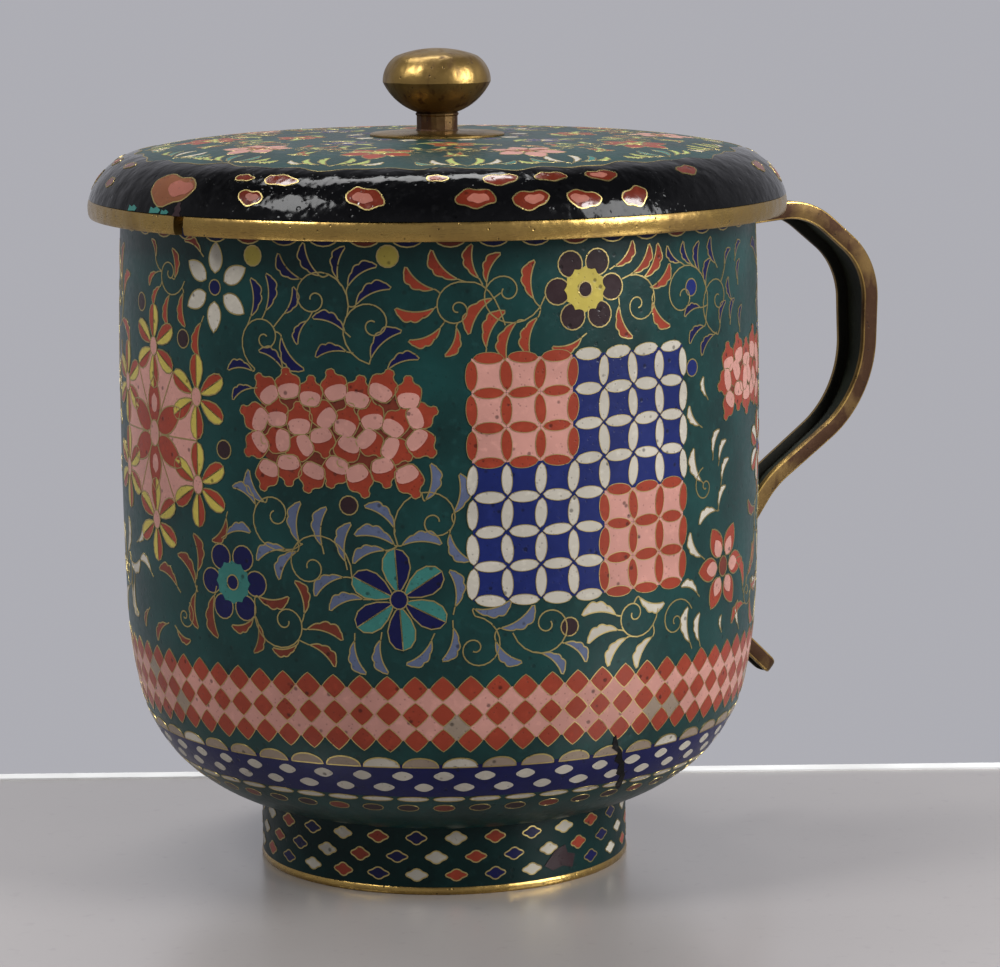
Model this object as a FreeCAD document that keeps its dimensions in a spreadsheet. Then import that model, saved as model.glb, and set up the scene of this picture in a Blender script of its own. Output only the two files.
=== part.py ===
import FreeCAD, Part
import math
import os
import Sketcher

# A lidded mug: a copper vessel under coloured enamel, with brass fittings and a lift-off lid.
# The origin is the middle of the foot on the table, +Z is up and +X goes out through the handle.

# Driving dimensions in millimetres. Leans are degrees from upright.
DIMENSIONS = {
    # Outer face of the wall: each radius is set in from the one above, each height rises from the one below
    "mouth_radius": 49.55,
    "mouth_rise": 60.8,
    "mouth_lean": -1.9,
    "shoulder_bulge": 0.25,
    "shoulder_rise": 13.9,
    "shoulder_lean": 2.1,
    "haunch_inset": 1.8,
    "haunch_rise": 13.0,
    "haunch_lean": 12.8,
    "heel_inset": 8.4,
    "heel_rise": 4.9,
    "heel_lean": 52.0,
    "foot_inset": 10.5,
    "foot_joint_height": 10.5,
    "foot_joint_lean": 78.6,
    # Layers of the wall
    "enamel_thickness": 0.9,
    "copper_thickness": 1.1,
    "lining_thickness": 0.5,
    # Brass ring on the mouth
    "mouth_band_thickness": 1.0,
    "mouth_band_overhang": 0.15,
    # Foot
    "foot_enamel_thickness": 0.8,
    "foot_ring_thickness": 1.7,
    "foot_band_height": 1.2,
    "foot_band_overhang": 0.25,
    "base_enamel_thickness": 0.5,
    # Handle: steps between the corners of the back face of the strap, from the upper pad to the tail
    "pad_stand": 0.85,
    "strap_start_drop": 2.4,
    "crest_run": 16.6,
    "crest_rise": 1.3,
    "crest_bend": 14.0,
    "grip_run": 13.8,
    "grip_top_drop": 11.0,
    "grip_top_bend": 14.0,
    "grip_length": 23.6,
    "grip_foot_bend": 20.0,
    "return_run": 19.2,
    "return_drop": 13.4,
    "return_bend": 15.0,
    "lower_seat_drop": 12.0,
    "lower_seat_top_bend": 8.0,
    "lower_seat_length": 9.2,
    "lower_seat_foot_bend": 8.0,
    "tail_run": 9.7,
    "tail_drop": 8.9,
    # Handle: section of the strap
    "strap_thickness": 2.9,
    "strap_web_thickness": 1.1,
    "strap_lip_width": 1.0,
    "strap_top_half_width": 5.1,
    "strap_tip_half_width": 1.7,
    "tail_round_turn": 150.0,
    "tail_solid_height": 3.2,
    # Handle: brass pads let into the enamel
    "upper_pad_half_width": 3.6,
    "lower_pad_half_width": 1.9,
    "upper_pad_height": 6.0,
    "lower_pad_height": 5.0,
    # Outer face of the lid, from its band up to the middle, each place set in and raised from the last
    "lid_edge_overhang": 4.75,
    "lid_edge_lean": 16.0,
    "lid_shoulder_inset": 7.2,
    "lid_shoulder_rise": 6.9,
    "lid_shoulder_lean": 77.2,
    "lid_top_inset": 15.1,
    "lid_top_rise": 1.85,
    "lid_top_lean": 88.7,
    "lid_middle_rise": 0.35,
    "lid_middle_lean": 90.0,
    # Lid fittings
    "seat_gap": 0.3,
    "lid_band_height": 2.9,
    "lid_band_drop": 2.0,
    "lid_band_thickness": 1.8,
    "lid_band_overhang": 0.4,
    "lid_band_bulge": 24.0,
    "flange_thickness": 1.0,
    "flange_depth": 5.0,
    "flange_gap": 0.8,
    # Knob
    "washer_radius": 10.5,
    "washer_edge_height": 0.35,
    "washer_height": 0.75,
    "collar_wall": 1.8,
    "collar_height": 2.85,
    "collar_edge": 0.4,
    "knob_base_inset": 0.2,
    "knob_flare": 5.2,
    "knob_seam_rise": 4.7,
    "knob_bottom_turn": 34.0,
    "knob_shoulder_inset": 2.1,
    "knob_shoulder_rise": 4.0,
    "knob_side_turn": 58.0,
    "knob_crown_rise": 1.3,
    "knob_wall_thickness": 0.8,
    # Screw that holds the knob
    "stud_radius": 1.5,
    "stud_play": 0.1,
    "stud_head_width": 1.3,
    "stud_head_height": 1.4,
    "stud_end": 0.8,
    "inner_washer_radius": 6.0,
    "inner_washer_thickness": 0.6,
    "inner_washer_sink": 0.1,
    "nut_wall": 1.4,
    "nut_height": 2.4,
    # Overrun of every cutting tool
    "overrun": 2.0,
}


class Size:
    """A length or an angle: its value, and the expression on the sheet that gives it."""

    def __init__(self, value, text):
        self.value = value
        self.text = text

    def joined(self, other, sign, value):
        return Size(value, f"({self.text} {sign} {as_size(other).text})")

    def __add__(self, other):
        return self.joined(other, "+", self.value + as_size(other).value)

    def __sub__(self, other):
        return self.joined(other, "-", self.value - as_size(other).value)

    def __mul__(self, other):
        return self.joined(other, "*", self.value * as_size(other).value)

    def __truediv__(self, other):
        return self.joined(other, "/", self.value / as_size(other).value)

    def __neg__(self):
        return Size(-self.value, f"(0 - {self.text})")


def as_size(value):
    return value if isinstance(value, Size) else Size(value, repr(value))


def cosine(angle):
    return Size(math.cos(math.radians(angle.value)), f"cos({angle.text} * 1 deg)")


def sine(angle):
    return Size(math.sin(math.radians(angle.value)), f"sin({angle.text} * 1 deg)")


def cap_turn(rise, run):
    """Turn of the arc that climbs by a rise over a run and ends level on the axis."""
    value = 2 * math.degrees(math.atan(rise.value / run.value))
    return Size(value, f"(2 * atan({rise.text} / {run.text}) / 1 deg)")


def distance(first, second):
    """Length of the straight line between two corners."""
    across = second[0] - first[0]
    along = second[1] - first[1]
    text = f"sqrt({across.text} * {across.text} + {along.text} * {along.text})"
    return Size(math.hypot(across.value, along.value), text)


ZERO = Size(0.0, "0")
doc = FreeCAD.newDocument("lidded_mug")
sheet = doc.addObject("Spreadsheet::Sheet", "Sizes")
for row, (name, value) in enumerate(DIMENSIONS.items(), start=1):
    sheet.set(f"A{row}", name)
    sheet.set(f"B{row}", str(value))
    sheet.setAlias(f"B{row}", name)
doc.recompute()


def size(name):
    return Size(DIMENSIONS[name], f"Sizes.{name}")


def bind(thing, path, value):
    """Set a property of an object to an expression on the sheet."""
    thing.setExpression(path, value.text)


# Sketches

def new_body(label):
    body = doc.addObject("PartDesign::Body", label)
    body.Label = label
    return body


def plane_of(body, role):
    return next(item for item in body.Origin.OriginFeatures if item.Role == role)


def new_sketch(body, name, role, shift=None):
    """A sketch on one of the body's own planes, shifted along the plane's normal."""
    sketch = body.newObject("Sketcher::SketchObject", name)
    sketch.AttachmentSupport = (plane_of(body, role), [""])
    sketch.MapMode = "FlatFace"
    if shift is not None:
        sketch.AttachmentOffset.Base = FreeCAD.Vector(0, 0, shift.value)
        bind(sketch, "AttachmentOffset.Base.z", shift)
    return sketch


def point(corner):
    return FreeCAD.Vector(corner[0].value, corner[1].value, 0)


def name_and_bind(sketch, index, name, value):
    sketch.renameConstraint(index, name)
    bind(sketch, f"Constraints.{name}", value)


def fix_corner(sketch, item, end, corner, name):
    """Hold one end of an edge at a corner given by sizes."""
    for axis, (kind, guide, value) in enumerate([("DistanceX", -2, corner[0]), ("DistanceY", -1, corner[1])]):
        if value is ZERO:
            sketch.addConstraint(Sketcher.Constraint("PointOnObject", item, end, guide))
            continue
        index = sketch.addConstraint(Sketcher.Constraint(kind, -1, 1, item, end, value.value))
        name_and_bind(sketch, index, f"{name}_{'xy'[axis]}", value)


def arc_between(first, second, turn):
    """Arc from one corner to the next that turns left by an angle, or right if it is negative."""
    start, stop = point(first), point(second)
    chord = stop - start
    half = math.radians(turn.value) / 2
    left = FreeCAD.Vector(-chord.y, chord.x, 0)
    centre = (start + stop) * 0.5 + left * (0.5 / math.tan(half))
    radius = chord.Length / (2 * abs(math.sin(half)))
    if turn.value < 0:
        start, stop = stop, start
    begin = math.atan2(start.y - centre.y, start.x - centre.x)
    finish = math.atan2(stop.y - centre.y, stop.x - centre.x)
    circle = Part.Circle(centre, FreeCAD.Vector(0, 0, 1), radius)
    return Part.ArcOfCircle(circle, begin, finish)


def draw_outline(sketch, corners):
    """Closed outline. Each corner holds x, y and the turn of the edge that leaves it, zero for a line."""
    ends = []
    for number, (across, along, turn) in enumerate(corners):
        here = (across, along)
        there = corners[(number + 1) % len(corners)][:2]
        if turn is ZERO:
            item = sketch.addGeometry(Part.LineSegment(point(here), point(there)), False)
            ends.append((item, 1, 2))
            continue
        item = sketch.addGeometry(arc_between(here, there, turn), False)
        ends.append((item, 1, 2) if turn.value > 0 else (item, 2, 1))
    for number, (item, start, stop) in enumerate(ends):
        after = ends[(number + 1) % len(ends)]
        sketch.addConstraint(Sketcher.Constraint("Coincident", item, stop, after[0], after[1]))
    for number, (across, along, turn) in enumerate(corners):
        item, start, stop = ends[number]
        fix_corner(sketch, item, start, (across, along), f"corner_{number}")
        if turn is ZERO:
            continue
        there = corners[(number + 1) % len(corners)][:2]
        way = 2 if turn.value > 0 else -2
        radius = distance((across, along), there) / (sine(turn / 2) * way)
        index = sketch.addConstraint(Sketcher.Constraint("Radius", item, radius.value))
        name_and_bind(sketch, index, f"bend_{number}", radius)


def draw_bent_path(sketch, corners):
    """Open path of straight runs with a tangent bend at each inner corner, which holds x, y and bend radius."""
    places = [point(corner) for corner in corners]
    runs = [(places[n], places[n + 1]) for n in range(len(places) - 1)]
    ways = [(stop - start).normalize() for start, stop in runs]
    set_backs = [0.0]
    for before, after, corner in zip(ways, ways[1:], corners[1:]):
        turn = before.getAngle(after)
        set_backs.append(corner[2].value * math.tan(turn / 2))
    set_backs.append(0.0)
    lines = []
    for number, (start, stop) in enumerate(runs):
        first = start + ways[number] * set_backs[number]
        last = stop - ways[number] * set_backs[number + 1]
        lines.append(sketch.addGeometry(Part.LineSegment(first, last), False))
    for number in range(1, len(places) - 1):
        before, after = ways[number - 1], ways[number]
        side = 1 if before.cross(after).z > 0 else -1
        normal = FreeCAD.Vector(-before.y, before.x, 0) * side
        start = places[number] - before * set_backs[number]
        stop = places[number] + after * set_backs[number]
        radius = corners[number][2]
        centre = start + normal * radius.value
        first, last = (start, stop) if side > 0 else (stop, start)
        begin = math.atan2(first.y - centre.y, first.x - centre.x)
        finish = math.atan2(last.y - centre.y, last.x - centre.x)
        circle = Part.Circle(centre, FreeCAD.Vector(0, 0, 1), radius.value)
        bend = sketch.addGeometry(Part.ArcOfCircle(circle, begin, finish), False)
        start_end, stop_end = (1, 2) if side > 0 else (2, 1)
        sketch.addConstraint(Sketcher.Constraint("Tangent", lines[number - 1], 2, bend, start_end))
        sketch.addConstraint(Sketcher.Constraint("Tangent", bend, stop_end, lines[number], 1))
        index = sketch.addConstraint(Sketcher.Constraint("Radius", bend, radius.value))
        name_and_bind(sketch, index, f"bend_{number}", radius)
        mark = sketch.addGeometry(Part.Point(places[number]), True)
        sketch.addConstraint(Sketcher.Constraint("PointOnObject", mark, 1, lines[number - 1]))
        sketch.addConstraint(Sketcher.Constraint("PointOnObject", mark, 1, lines[number]))
        fix_corner(sketch, mark, 1, corners[number][:2], f"corner_{number}")
    fix_corner(sketch, lines[0], 1, corners[0][:2], "start")
    fix_corner(sketch, lines[-1], 2, corners[-1][:2], "finish")


def turned(label, corners):
    """A body turned about the axis of the mug from an outline of radius and height."""
    body = new_body(label)
    sketch = new_sketch(body, f"{label}_outline", "XZ_Plane")
    draw_outline(sketch, corners)
    turning = body.newObject("PartDesign::Revolution", f"{label}_turning")
    turning.Profile = sketch
    turning.ReferenceAxis = (sketch, ["V_Axis"])
    turning.Angle = 360
    sketch.Visibility = False
    return body


def ring(label, inner, outer, bottom, top):
    """A plain ring, or a disc where the inner radius is zero."""
    return turned(label, [
        (inner, bottom, ZERO),
        (outer, bottom, ZERO),
        (outer, top, ZERO),
        (inner, top, ZERO),
    ])


def combined(kind, label, **links):
    thing = doc.addObject(kind, label)
    thing.Label = label
    for link, target in links.items():
        setattr(thing, link, target)
    return thing


# Wall of the mug

WALL_PLACES = ["mouth", "shoulder", "haunch", "heel", "foot_joint"]
wall_leans = {place: size(f"{place}_lean") for place in WALL_PLACES}
wall_radii = {"mouth": size("mouth_radius")}
wall_radii["shoulder"] = wall_radii["mouth"] + size("shoulder_bulge")
wall_radii["haunch"] = wall_radii["shoulder"] - size("haunch_inset")
wall_radii["heel"] = wall_radii["haunch"] - size("heel_inset")
wall_radii["foot_joint"] = wall_radii["heel"] - size("foot_inset")
wall_heights = {"foot_joint": size("foot_joint_height")}
wall_heights["heel"] = wall_heights["foot_joint"] + size("heel_rise")
wall_heights["haunch"] = wall_heights["heel"] + size("haunch_rise")
wall_heights["shoulder"] = wall_heights["haunch"] + size("shoulder_rise")
wall_heights["mouth"] = wall_heights["shoulder"] + size("mouth_rise")


def wall_corner(place, depth):
    """A corner of the wall, at a depth below its outer face."""
    radius, height, lean = wall_radii[place], wall_heights[place], wall_leans[place]
    if depth is ZERO:
        return radius, height
    if place == "mouth":
        return radius - depth, height
    if place == "foot_joint":
        return radius, height + depth
    return radius - depth * cosine(lean), height + depth * sine(lean)


def wall_down(depth):
    """Corners of a face of the wall from the mouth to the foot joint; the last one leaves on a line."""
    corners = []
    for place, after in zip(WALL_PLACES, WALL_PLACES[1:]):
        turn = wall_leans[place] - wall_leans[after]
        corners.append((*wall_corner(place, depth), turn))
    corners.append((*wall_corner("foot_joint", depth), ZERO))
    return corners


def wall_up(depth):
    """The same face from the foot joint back to the mouth."""
    order = WALL_PLACES[::-1]
    corners = []
    for place, after in zip(order, order[1:]):
        turn = wall_leans[place] - wall_leans[after]
        corners.append((*wall_corner(place, depth), turn))
    corners.append((*wall_corner("mouth", depth), ZERO))
    return corners


enamel_depth = size("enamel_thickness")
copper_depth = enamel_depth + size("copper_thickness")
lining_depth = copper_depth + size("lining_thickness")
foot_joint = wall_heights["foot_joint"]
wall_top = wall_heights["mouth"]
core_underside = foot_joint + enamel_depth


def cup(label, outer_depth, inner_depth):
    """A shell of the vessel with its floor, between two depths below the outer face."""
    floor_under = [(ZERO, foot_joint + outer_depth, ZERO)]
    floor_top = [(ZERO, foot_joint + inner_depth, ZERO)]
    return turned(label, wall_down(outer_depth) + floor_under + floor_top + wall_up(inner_depth))


body_core = cup("body_core", enamel_depth, copper_depth)
body_lining = cup("body_lining", copper_depth, lining_depth)
enamel_shell = turned("enamel_shell", wall_down(ZERO) + wall_up(enamel_depth))
core_form = turned("core_form", wall_down(enamel_depth) + [
    (ZERO, core_underside, ZERO),
    (ZERO, wall_top, ZERO),
])

mouth_top = wall_top + size("mouth_band_thickness")
mouth_bore = size("mouth_radius") - lining_depth
mouth_band = ring(
    "mouth_band",
    mouth_bore,
    size("mouth_radius") + size("mouth_band_overhang"),
    wall_top,
    mouth_top,
)

# Foot

foot_radius = wall_radii["foot_joint"]
foot_band_top = size("foot_band_height")
foot_enamel_bore = foot_radius - size("foot_enamel_thickness")
foot_bore = foot_enamel_bore - size("foot_ring_thickness")
foot_ring = ring("foot_ring", foot_bore, foot_enamel_bore, foot_band_top, core_underside)
foot_enamel = ring("foot_enamel", foot_enamel_bore, foot_radius, foot_band_top, core_underside)
foot_band = ring("foot_band", foot_bore, foot_radius + size("foot_band_overhang"), ZERO, foot_band_top)
base_enamel = ring("base_enamel", ZERO, foot_bore, core_underside - size("base_enamel_thickness"), core_underside)

# Handle

pad_face = wall_radii["mouth"] + size("pad_stand")
strap_thickness = size("strap_thickness")
strap_start = wall_top - size("strap_start_drop")
crest_reach = pad_face + size("crest_run")
crest_height = strap_start + size("crest_rise")
grip_reach = crest_reach + size("grip_run")
grip_top = crest_height - size("grip_top_drop")
grip_foot = grip_top - size("grip_length")
return_height = grip_foot - size("return_drop")
seat_reach = pad_face + strap_thickness
lower_seat_top = return_height - size("lower_seat_drop")
lower_seat_foot = lower_seat_top - size("lower_seat_length")
tail_height = lower_seat_foot - size("tail_drop")
strap_route = [
    (pad_face, strap_start, ZERO),
    (crest_reach, crest_height, size("crest_bend")),
    (grip_reach, grip_top, size("grip_top_bend")),
    (grip_reach, grip_foot, size("grip_foot_bend")),
    (grip_reach - size("return_run"), return_height, size("return_bend")),
    (seat_reach, lower_seat_top, size("lower_seat_top_bend")),
    (seat_reach, lower_seat_foot, size("lower_seat_foot_bend")),
    (seat_reach + size("tail_run"), tail_height, ZERO),
]


def strap_sweep(label, near_depth, far_depth):
    """A flat bar that follows the strap's route, between two depths below its back face."""
    body = new_body(label)
    path = new_sketch(body, f"{label}_path", "XZ_Plane")
    draw_bent_path(path, strap_route)
    section = new_sketch(body, f"{label}_section", "YZ_Plane", pad_face)
    half_width = size("strap_top_half_width")
    draw_outline(section, [
        (-half_width, strap_start - far_depth, ZERO),
        (half_width, strap_start - far_depth, ZERO),
        (half_width, strap_start - near_depth, ZERO),
        (-half_width, strap_start - near_depth, ZERO),
    ])
    doc.recompute()
    sweep = body.newObject("PartDesign::AdditivePipe", f"{label}_sweep")
    sweep.Profile = section
    sweep.Spine = (path, [f"Edge{number + 1}" for number in range(len(path.Shape.Edges))])
    return body


def strap_taper(label, side, tip_height):
    """The front view of the strap, set in from its edges by a side width, as a deep block."""
    body = new_body(label)
    sketch = new_sketch(body, f"{label}_outline", "YZ_Plane")
    top_half = size("strap_top_half_width") - side
    tip_half = size("strap_tip_half_width") - side
    top = crest_height + size("overrun")
    draw_outline(sketch, [
        (top_half, top, ZERO),
        (-top_half, top, ZERO),
        (-tip_half, tip_height + tip_half, size("tail_round_turn")),
        (tip_half, tip_height + tip_half, ZERO),
    ])
    block = body.newObject("PartDesign::Pad", f"{label}_block")
    block.Profile = sketch
    bind(block, "Length", grip_reach + size("overrun"))
    return body


tail_tip = tail_height - strap_thickness
strap_bar = strap_sweep("strap_bar", ZERO, strap_thickness)
strap_front = strap_taper("strap_front", ZERO, tail_tip)
strap_blank = combined("Part::Common", "strap_blank", Base=strap_bar, Tool=strap_front)
groove_bar = strap_sweep("groove_bar", size("strap_web_thickness"), strap_thickness + size("overrun"))
groove_front = strap_taper("groove_front", size("strap_lip_width"), tail_tip + size("tail_solid_height"))
strap_groove = combined("Part::Common", "strap_groove", Base=groove_bar, Tool=groove_front)
handle_strap = combined("Part::Cut", "handle_strap", Base=strap_blank, Tool=strap_groove)


def pad_block(label, middle, height, half_width):
    block = doc.addObject("Part::Box", label)
    root = wall_radii["haunch"] - enamel_depth - size("overrun")
    bind(block, "Length", pad_face - root)
    bind(block, "Width", half_width * 2)
    bind(block, "Height", height)
    bind(block, "Placement.Base.x", root)
    bind(block, "Placement.Base.y", -half_width)
    bind(block, "Placement.Base.z", middle - height / 2)
    return block


upper_middle = strap_start - strap_thickness / 2 - size("strap_web_thickness")
lower_middle = (lower_seat_top + lower_seat_foot) / 2
upper_block = pad_block("upper_block", upper_middle, size("upper_pad_height"), size("upper_pad_half_width"))
lower_block = pad_block("lower_block", lower_middle, size("lower_pad_height"), size("lower_pad_half_width"))
upper_pad = combined("Part::Cut", "upper_handle_pad", Base=upper_block, Tool=core_form)
lower_pad = combined("Part::Cut", "lower_handle_pad", Base=lower_block, Tool=core_form)
pad_blocks = combined("Part::MultiFuse", "pad_blocks", Shapes=[upper_block, lower_block])
body_enamel = combined("Part::Cut", "body_enamel", Base=enamel_shell, Tool=pad_blocks)

# Lid

lid_seat = mouth_top + size("seat_gap")
lid_band_bottom = lid_seat - size("lid_band_drop")
lid_edge_height = lid_band_bottom + size("lid_band_height")
stud_hole = size("stud_radius") + size("stud_play")
lid_edge_radius = wall_radii["mouth"] + size("lid_edge_overhang")
LID_PLACES = ["lid_edge", "lid_shoulder", "lid_top", "lid_middle"]
lid_radii = {"lid_edge": lid_edge_radius, "lid_middle": stud_hole}
lid_radii["lid_shoulder"] = lid_edge_radius - size("lid_shoulder_inset")
lid_radii["lid_top"] = lid_radii["lid_shoulder"] - size("lid_top_inset")
lid_heights = {"lid_edge": lid_edge_height}
for below, place in zip(LID_PLACES, LID_PLACES[1:]):
    lid_heights[place] = lid_heights[below] + size(f"{place}_rise")


def lid_corner(place, depth):
    """A corner of the lid, at a depth below its outer face."""
    radius, height = lid_radii[place], lid_heights[place]
    if depth is ZERO:
        return radius, height
    if place == "lid_edge":
        return radius - depth, height
    if place == "lid_middle":
        return radius, height - depth
    lean = size(f"{place}_lean")
    return radius - depth * cosine(lean), height - depth * sine(lean)


def lid_face(depth, places):
    """Corners of a face of the lid in the order of the places; the last one leaves on a line."""
    corners = []
    for place, after in zip(places, places[1:]):
        turn = size(f"{after}_lean") - size(f"{place}_lean")
        corners.append((*lid_corner(place, depth), turn))
    corners.append((*lid_corner(places[-1], depth), ZERO))
    return corners


def lid_shell(label, outer_depth, inner_depth):
    """A shell of the lid between two depths below its outer face, with the hole for the stud."""
    outer = lid_face(outer_depth, LID_PLACES)
    inner = lid_face(inner_depth, LID_PLACES[::-1])
    return turned(label, outer + inner)


lid_enamel = lid_shell("lid_enamel", ZERO, enamel_depth)
lid_core = lid_shell("lid_core", enamel_depth, copper_depth)
lining_shell = lid_shell("lining_shell", copper_depth, lining_depth)

lid_band_radius = lid_edge_radius + size("lid_band_overhang")
lid_band_bore = lid_band_radius - size("lid_band_thickness")
lid_band = turned("lid_band", [
    (lid_band_bore, lid_band_bottom, ZERO),
    (lid_band_radius - size("lid_band_overhang") / 2, lid_band_bottom, size("lid_band_bulge")),
    (lid_band_radius - size("lid_band_overhang") / 2, lid_edge_height, ZERO),
    (lid_band_bore, lid_edge_height, ZERO),
])

flange_radius = mouth_bore - size("flange_gap")
flange_bore = flange_radius - size("flange_thickness")
lid_flange = turned("lid_flange", [
    (flange_bore, lid_seat - size("flange_depth"), ZERO),
    (flange_radius, lid_seat - size("flange_depth"), ZERO),
    (flange_radius, lid_seat, ZERO),
    (lid_band_bore, lid_seat, ZERO),
    (lid_band_bore, lid_edge_height, ZERO),
    (flange_bore, lid_edge_height, ZERO),
])

# Knob

washer_bottom = lid_heights["lid_middle"]
collar_bottom = washer_bottom + size("washer_height")
knob_bottom_height = collar_bottom + size("collar_height")
collar_radius = stud_hole + size("collar_wall")
knob_washer = turned("knob_washer", [
    (stud_hole, washer_bottom, ZERO),
    (size("washer_radius"), washer_bottom, ZERO),
    (size("washer_radius"), washer_bottom + size("washer_edge_height"), ZERO),
    (collar_radius, collar_bottom, ZERO),
    (stud_hole, collar_bottom, ZERO),
])
quarter_turn = Size(90.0, "90")
knob_collar = turned("knob_collar", [
    (stud_hole, collar_bottom, ZERO),
    (collar_radius, collar_bottom, ZERO),
    (collar_radius, knob_bottom_height - size("collar_edge"), quarter_turn),
    (collar_radius - size("collar_edge"), knob_bottom_height, ZERO),
    (stud_hole, knob_bottom_height, ZERO),
])

knob_wall = size("knob_wall_thickness")
knob_base_radius = collar_radius - size("knob_base_inset")
knob_radius = knob_base_radius + size("knob_flare")
knob_seam = knob_bottom_height + size("knob_seam_rise")
knob_floor = knob_bottom_height + knob_wall
knob_bottom = turned("knob_bottom", [
    (stud_hole, knob_bottom_height, ZERO),
    (knob_base_radius, knob_bottom_height, size("knob_bottom_turn")),
    (knob_radius, knob_seam, ZERO),
    (knob_radius - knob_wall, knob_seam, -size("knob_bottom_turn")),
    (knob_base_radius, knob_floor, ZERO),
    (stud_hole, knob_floor, ZERO),
])
knob_shoulder_height = knob_seam + size("knob_shoulder_rise")
crown_rise = size("knob_crown_rise")
knob_crown = knob_shoulder_height + crown_rise
knob_shoulder_radius = knob_radius - size("knob_shoulder_inset")
knob_shoulder_bore = knob_shoulder_radius - knob_wall / 2
knob_top = turned("knob_top", [
    (knob_radius - knob_wall, knob_seam, ZERO),
    (knob_radius, knob_seam, size("knob_side_turn")),
    (knob_shoulder_radius, knob_shoulder_height, cap_turn(crown_rise, knob_shoulder_radius)),
    (ZERO, knob_crown, ZERO),
    (ZERO, knob_crown - knob_wall, -cap_turn(crown_rise, knob_shoulder_bore)),
    (knob_shoulder_bore, knob_shoulder_height - knob_wall, -size("knob_side_turn")),
])

# Screw that holds the knob

lid_ceiling = washer_bottom - lining_depth + size("inner_washer_sink")
nut_top = lid_ceiling - size("inner_washer_thickness")
stud_head_radius = size("stud_radius") + size("stud_head_width")
nut_bottom = nut_top - size("nut_height")
knob_stud = turned("knob_stud", [
    (ZERO, nut_bottom - size("stud_end"), ZERO),
    (size("stud_radius"), nut_bottom - size("stud_end"), ZERO),
    (size("stud_radius"), knob_floor, ZERO),
    (stud_head_radius, knob_floor, ZERO),
    (stud_head_radius, knob_floor + size("stud_head_height"), ZERO),
    (ZERO, knob_floor + size("stud_head_height"), ZERO),
])
knob_inner_washer = ring("knob_inner_washer", stud_hole, size("inner_washer_radius"), nut_top, lid_ceiling)
washer_seat = ring("washer_seat", ZERO, size("inner_washer_radius"), nut_top, lid_ceiling)
lid_lining = combined("Part::Cut", "lid_lining", Base=lining_shell, Tool=washer_seat)

nut_blank = doc.addObject("Part::Prism", "nut_blank")
nut_blank.Polygon = 6
half_side = Size(30.0, "30")
bind(nut_blank, "Circumradius", (stud_hole + size("nut_wall")) / cosine(half_side))
bind(nut_blank, "Height", size("nut_height"))
bind(nut_blank, "Placement.Base.z", nut_bottom)
nut_bore = doc.addObject("Part::Cylinder", "nut_bore")
bind(nut_bore, "Radius", stud_hole)
bind(nut_bore, "Height", size("nut_height") + size("overrun") * 2)
bind(nut_bore, "Placement.Base.z", nut_bottom - size("overrun"))
knob_nut = combined("Part::Cut", "knob_nut", Base=nut_blank, Tool=nut_bore)

PIECES = [
    body_core, body_enamel, body_lining, mouth_band,
    foot_ring, foot_enamel, foot_band, base_enamel,
    handle_strap, upper_pad, lower_pad,
    lid_core, lid_enamel, lid_lining, lid_band, lid_flange,
    knob_washer, knob_collar, knob_bottom, knob_top,
    knob_stud, knob_inner_washer, knob_nut,
]

doc.recompute()
for thing in doc.Objects:
    if "Invalid" in thing.State or "Error" in thing.State:
        raise RuntimeError(f"{thing.Name} did not build: {thing.State}")
for piece in PIECES:
    if piece.Shape.isNull() or not piece.Shape.isValid() or len(piece.Shape.Solids) != 1:
        raise RuntimeError(f"{piece.Label} is not one valid solid")

os.makedirs("parts", exist_ok=True)
for piece in PIECES:
    piece.Shape.exportStep(f"parts/{piece.Label}.step")
    box = piece.Shape.optimalBoundingBox()
    print(f"{piece.Label}: volume {piece.Shape.Volume:.1f}, z {box.ZMin:.2f} to {box.ZMax:.2f}, reach {box.XMax:.2f}")
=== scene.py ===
import math
import random

import bpy
from bpy.props import FloatProperty, FloatVectorProperty, PointerProperty
from mathutils import Matrix, Vector, noise


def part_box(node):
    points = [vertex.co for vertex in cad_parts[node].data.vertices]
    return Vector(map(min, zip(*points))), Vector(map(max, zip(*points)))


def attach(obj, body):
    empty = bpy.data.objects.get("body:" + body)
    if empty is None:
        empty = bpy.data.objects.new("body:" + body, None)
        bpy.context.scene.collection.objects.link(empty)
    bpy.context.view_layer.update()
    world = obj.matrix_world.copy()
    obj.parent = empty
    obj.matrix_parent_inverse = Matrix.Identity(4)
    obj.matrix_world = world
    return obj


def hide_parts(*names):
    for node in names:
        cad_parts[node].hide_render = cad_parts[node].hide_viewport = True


bl_info = {
    "name": "Enamelled Lidded Mug",
    "version": (1, 0, 0),
    "blender": (4, 5, 0),
    "location": "View3D > Sidebar > Mug",
    "description": "Dresses the packed model of a lidded mug in wired enamel and gilt brass",
    "category": "Object",
}

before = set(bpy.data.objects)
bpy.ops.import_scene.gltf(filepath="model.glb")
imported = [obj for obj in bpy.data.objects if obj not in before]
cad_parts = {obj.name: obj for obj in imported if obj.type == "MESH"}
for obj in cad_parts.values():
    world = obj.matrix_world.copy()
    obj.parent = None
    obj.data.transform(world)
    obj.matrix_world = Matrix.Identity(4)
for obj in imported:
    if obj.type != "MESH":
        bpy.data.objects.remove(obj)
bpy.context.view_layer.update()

MM = 0.001
SEED = 7

# The handle points along +X and stands turned back from the right of the picture.
HANDLE_TURN = math.radians(28)
FRONT = -math.pi / 2 - HANDLE_TURN

# Radius of the hole for the knob's screw, through the lid and the knob.
SCREW_HOLE = 1.6

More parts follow.
